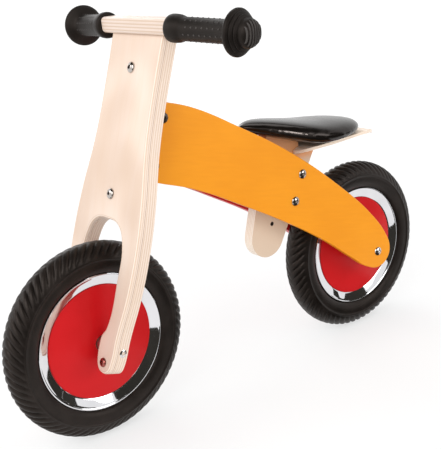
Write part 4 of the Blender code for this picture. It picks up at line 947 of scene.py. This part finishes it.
# Painted shade darkens the low hole's wall, and painted orange bounce light from the beams turns the plank
# above the upper bolt amber.
low_hole = SEAT_BOLT - lean_way * HOLE_PITCH * 2
off_x, off_z = plank_birch.along(FORWARD, low_hole), plank_birch.along(UP, low_hole)
from_hole = (off_x * off_x + off_z * off_z).joined("SQRT")
wood = plank_birch.surface.inputs["Base Color"].links[0].from_socket
wood = plank_birch.mixed(plank_birch.between(from_hole, 0.0040, 0.0034), wood, (0.05, 0.03, 0.02))
painted_bounce_above_bolt = plank_birch.between(plank_birch.along(UP, SEAT_BOLT), 0.004, 0.020)
plank_birch.coat(Base_Color=plank_birch.mixed(painted_bounce_above_bolt * 0.85, wood, (0.78, 0.33, 0.11)))
fitted(piece(bm, "seat_plank", plank_birch, weighted=True), "frame", "seat_post")
GUIDE_HALF_W, GUIDE_TOP, GUIDE_LOW = 0.020, 0.012, -0.068
for side, name in ((1, "left_seat_guide"), (-1, "right_seat_guide")):
    guide = bmesh.new()
    bmesh.ops.create_cube(guide, size=2.0)
    for vert in guide.verts:
        spot = SEAT_BOLT + cross_way * GUIDE_HALF_W * vert.co.x
        spot += lean_way * (GUIDE_TOP if vert.co.z > 0 else GUIDE_LOW)
        outer = beam_face(spot.x, BEAM_T) - CLEARANCE
        spot.y = side * (outer if vert.co.y * side > 0 else PLANK_T / 2 + CLEARANCE)
        vert.co = spot
    eased(guide, 0.0010, 3, 60.0)
    guide_birch = plywood(name + "_birch", LEFT, lean_way, SEAT_BOLT, 0.00185)
    fitted(piece(guide, name + "_piece", guide_birch, weighted=True), "frame", name)
NUT_R, NUT_H, NUT_DOME_H, NUT_BORE_R, NUT_BORE_L = 0.0080, 0.0075, 0.0059, 0.0033, 0.0052
dome = [(0.0, NUT_H)]
for turn in (math.radians(a) for a in (75, 58, 40, 22, 6)):
    dome.append((NUT_R * math.cos(turn), NUT_H - NUT_DOME_H + NUT_DOME_H * math.sin(turn)))
dome += [(NUT_R, 0.0), (NUT_BORE_R, 0.0), (NUT_BORE_R, NUT_BORE_L), (0.0, NUT_BORE_L)]
for level in ("upper", "lower"):
    bolt, nut = level + "_seat_bolt", level + "_seat_nut"
    low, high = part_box(bolt)
    seat = ((low.x + high.x) / 2, high.y - BOLT_HEAD_H, (low.z + high.z) / 2)
    fit_bolt(bolt, "frame", seat, LEFT, painted_dark_bolt_chrome, high.y - low.y - BOLT_HEAD_H - CLEARANCE)
    low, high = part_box(nut)
    bm = turned(dome, 48)
    bm.transform(facing(-LEFT, ((low.x + high.x) / 2, high.y, (low.z + high.z) / 2)))
    fitted(piece(bm, nut + "_piece", painted_dark_bolt_chrome, 40.0), "frame", nut)

# The seat board: a thin birch board under the saddle, with rounded ends that bow down a little. It
# is notched round the plank's horn and screwed down on the plank.
BOARD_T = 0.0050
NOTCH_END, NOTCH_L, NOTCH_H = -0.0356, 0.05, 0.06
# Ahead of the upper bolt: half the board's width there, and the height of its top above the bolt.
board_stations = [
    (-0.2085, 0.0000, 0.0268), (-0.2075, 0.0100, 0.0272), (-0.2035, 0.0180, 0.0290), (-0.1930, 0.0275, 0.0330),
    (-0.1780, 0.0370, 0.0362), (-0.1500, 0.0440, 0.0385), (-0.1085, 0.0480, 0.0385), (-0.0635, 0.0455, 0.0368),
    (-0.0460, 0.0432, 0.0360), (-0.0360, 0.0385, 0.0346), (-0.0290, 0.0315, 0.0326), (-0.0240, 0.0235, 0.0303),
    (-0.0215, 0.0160, 0.0285),
]


def between_stations(stations, place):
    """The sizes at a place among stations in rising order, on a smooth curve through them."""
    k = 0
    while k < len(stations) - 2 and place > stations[k + 1][0]:
        k += 1
    one, two = stations[k], stations[k + 1]
    gap = two[0] - one[0]
    t = min(1.0, max(0.0, (place - one[0]) / gap))
    sizes = []
    for i in range(1, len(one)):
        slopes = []
        for j in (k, k + 1):
            before, after = stations[max(0, j - 1)], stations[min(len(stations) - 1, j + 1)]
            slopes.append((after[i] - before[i]) / (after[0] - before[0]))
        sizes.append(
            one[i] * (2 * t ** 3 - 3 * t ** 2 + 1) + slopes[0] * gap * (t ** 3 - 2 * t ** 2 + t)
            + two[i] * (3 * t ** 2 - 2 * t ** 3) + slopes[1] * gap * (t ** 3 - t ** 2)
        )
    return sizes


def along_stations(stations, share):
    """The place at a share of the way from the first station to the last."""
    return stations[0][0] + (stations[-1][0] - stations[0][0]) * share


bm = bmesh.new()
bmesh.ops.create_grid(bm, x_segments=48, y_segments=12, size=1.0)
for vert in bm.verts:
    share = (vert.co.x + 1.0) / 2
    ahead = along_stations(board_stations, 1.0 - math.cos(share * math.pi / 2) if share < 1.0 else 1.0)
    half, top = between_stations(board_stations, ahead)
    vert.co = Vector((ahead, vert.co.y * max(half, 0.0), top)) + SEAT_BOLT
bmesh.ops.remove_doubles(bm, verts=bm.verts, dist=0.00002)
lower = bmesh.ops.extrude_face_region(bm, geom=bm.faces[:])["geom"]
lower_verts = [g for g in lower if isinstance(g, bmesh.types.BMVert)]
bmesh.ops.translate(bm, verts=lower_verts, vec=(0.0, 0.0, -BOARD_T))
bmesh.ops.recalc_face_normals(bm, faces=bm.faces)
eased(bm, 0.0012, 3, 60.0)
notch = bmesh.new()
bmesh.ops.create_cube(notch, size=1.0)
bmesh.ops.scale(notch, vec=(NOTCH_L, PLANK_T + 2 * CLEARANCE, NOTCH_H), verts=notch.verts)
notch_middle = SEAT_BOLT + Vector((NOTCH_END + NOTCH_L / 2, 0.0, NOTCH_H / 2))
bmesh.ops.translate(notch, verts=notch.verts, vec=notch_middle)
board_middle = SEAT_BOLT + Vector((0.0, 0.0, 0.0338))
seat_birch = plywood("seat_birch", UP, FORWARD, board_middle, 0.00133, (1.0, 0.87, 0.76))
made = piece(bm, "seat_board_piece", seat_birch, weighted=True)
cut_out(made, notch)
fitted(made, "frame", "seat_board")
refinish(plain_zinc, "front_seat_board_screw", "rear_seat_board_screw")

# The saddle: foam on a hard base under a tight glossy black vinyl cover. It is wide and round at
# the back, narrows to the nose, and rests on the seat board.
# Ahead of the upper bolt: half the saddle's width there, and its lowest and highest place.
saddle_stations = [
    (-0.1670, 0.0056, 0.0440, 0.0531), (-0.1625, 0.0186, 0.0421, 0.0561), (-0.1520, 0.0337, 0.0403, 0.0599),
    (-0.1350, 0.0499, 0.0393, 0.0638), (-0.1080, 0.0639, 0.0389, 0.0674), (-0.0700, 0.0712, 0.0380, 0.0717),
    (-0.0350, 0.0692, 0.0420, 0.0775), (-0.0020, 0.0593, 0.0526, 0.0843), (0.0270, 0.0451, 0.0622, 0.0897),
    (0.0530, 0.0292, 0.0706, 0.0927), (0.0715, 0.0150, 0.0781, 0.0925), (0.0815, 0.0040, 0.0835, 0.0905),
]
# Round half of each section, from its lowest place to its highest: shares of the width and the height.
half_section = [
    (0.0, 0.0, 0.0), (1.0, 0.50, 0.02), (2.0, 0.91, 0.115), (3.0, 1.0, 0.35), (4.0, 0.975, 0.645),
    (5.0, 0.77, 0.88), (6.0, 0.41, 0.98), (7.0, 0.0, 1.0),
]
SADDLE_ROUND, SADDLE_ROWS, FOAM_SHARE = 44, 60, 0.97


def on_saddle(k, ahead):
    half, low, high = between_stations(saddle_stations, ahead)
    top = half_section[-1][0]
    width, rise = between_stations(half_section, top - top * abs(1.0 - 2.0 * k / SADDLE_ROUND))
    side = 1.0 if k < SADDLE_ROUND / 2 else -1.0
    return SEAT_BOLT + Vector((ahead, side * half * width, low + (high - low) * rise))


def corners(verts):
    """The lowest and the highest corner of the box round some vertices."""
    return [Vector([pick(vert.co[i] for vert in verts) for i in range(3)]) for pick in (min, max)]


def spot_of(vert):
    return tuple(round(c, 7) for c in vert.co)


bm = bmesh.new()
ring = bmesh.ops.create_circle(bm, segments=SADDLE_ROUND, radius=1.0)["verts"]
bm.faces.new(ring)
edges = bm.edges[:]
marks = {vert: k for k, vert in enumerate(ring)}
for row in range(SADDLE_ROWS):
    ahead = along_stations(saddle_stations, (1.0 - math.cos(math.pi * row / (SADDLE_ROWS - 1))) / 2)
    if row:
        order = {spot_of(vert): k for vert, k in marks.items()}
        ring, edges = drawn_on(bm, edges)
        marks = {vert: order[spot_of(vert)] for vert in ring}
    for vert in ring:
        vert.co = on_saddle(marks[vert], ahead)
bmesh.ops.edgeloop_fill(bm, edges=edges)
bmesh.ops.recalc_face_normals(bm, faces=bm.faces)
pad_low, pad_high = corners(bm.verts)
middle = (pad_low + pad_high) / 2
for vert in bm.verts:
    vert.co = middle + (vert.co - middle) * FOAM_SHARE
vinyl = Finish(
    "saddle_vinyl_black", Base_Color=(0.005, 0.004, 0.0035), Roughness=0.20, Specular_IOR_Level=0.30,
    Coat_Weight=0.04, Coat_Roughness=0.08, Specular_Tint=(1.0, 0.85, 0.78),
)
cells = {"Vector": vinyl.place(), "Scale": 900.0}
pebble = vinyl.node("ShaderNodeTexVoronoi", {"feature": "SMOOTH_F1"}, cells).outputs["Distance"]
wear = vinyl.noise(vinyl.place(), 22.0, 3.0)
patches = vinyl.between(wear, 0.35, 0.70)
vinyl.toned(patches, (0.0045, 0.0034, 0.0028), (0.0075, 0.0060, 0.0052), 0.17 + wear * 0.06)
vinyl.bump(pebble, 0.00004)
saddle = piece(bm, "saddle_piece", vinyl, 180.0)


def smoothing(name, iterations):
    """A step that smooths the saddle."""
    step = saddle.modifiers.new(name, "SMOOTH")
    step.factor = 0.5
    step.iterations = iterations
    return step


# The cover is a cloth that the foam presses out. Vinyl gives little, so only a share of that stays.
CELL, SETTLED, GIVE, MOST_GIVE = 0.004, 20, 0.35, 0.0009
even = saddle.modifiers.new("even", "REMESH")
even.mode = "VOXEL"
even.voxel_size = CELL
foam = shaped(saddle, even)
start = [vert.co.copy() for vert in foam.vertices]
# The hard base under the foam doesn't give.
held = saddle.vertex_groups.new(name="base")
held.add([vert.index for vert in foam.vertices if vert.normal.z < -0.35], 1.0, "REPLACE")
cover = saddle.modifiers.new("cover", "CLOTH")
cover.settings.quality = 6
cover.settings.mass = 0.25
cover.settings.tension_stiffness = 40.0
cover.settings.compression_stiffness = 40.0
cover.settings.bending_stiffness = 8.0
cover.settings.use_pressure = True
cover.settings.uniform_pressure_force = 2.0
cover.settings.vertex_group_mass = held.name
cover.settings.effector_weights.gravity = 0.0
cover.point_cache.frame_start = 1
cover.point_cache.frame_end = SETTLED
for moment in range(1, SETTLED + 1):
    scene.frame_set(moment)
blown = shaped(saddle, cover)
for vert, was in zip(blown.vertices, start):
    moved = vert.co - was
    vert.co = was + moved * min(GIVE, MOST_GIVE / max(moved.length, 0.000001))
scene.frame_set(1)
even = smoothing("even", 40)
finer = saddle.modifiers.new("finer", "SUBSURF")
finer.levels = 1
finer.render_levels = 1
silky = smoothing("silky", 50)
shaped(saddle, even, finer, silky)
fit = saddle.data
now_low, now_high = corners(fit.vertices)
for vert in fit.vertices:
    share = [(vert.co[i] - now_low[i]) / (now_high[i] - now_low[i]) for i in range(3)]
    vert.co = Vector([pad_low[i] + (pad_high[i] - pad_low[i]) * share[i] for i in range(3)])
fit.shade_smooth()
fitted(saddle, "frame", "saddle")
# The strip lamp only draws the streak on the saddle's flank.
lit = bpy.data.collections.new("strip_lit")
lit.objects.link(saddle)
strip.light_linking.receiver_collection = lit
strip.light_linking.blocker_collection = lit
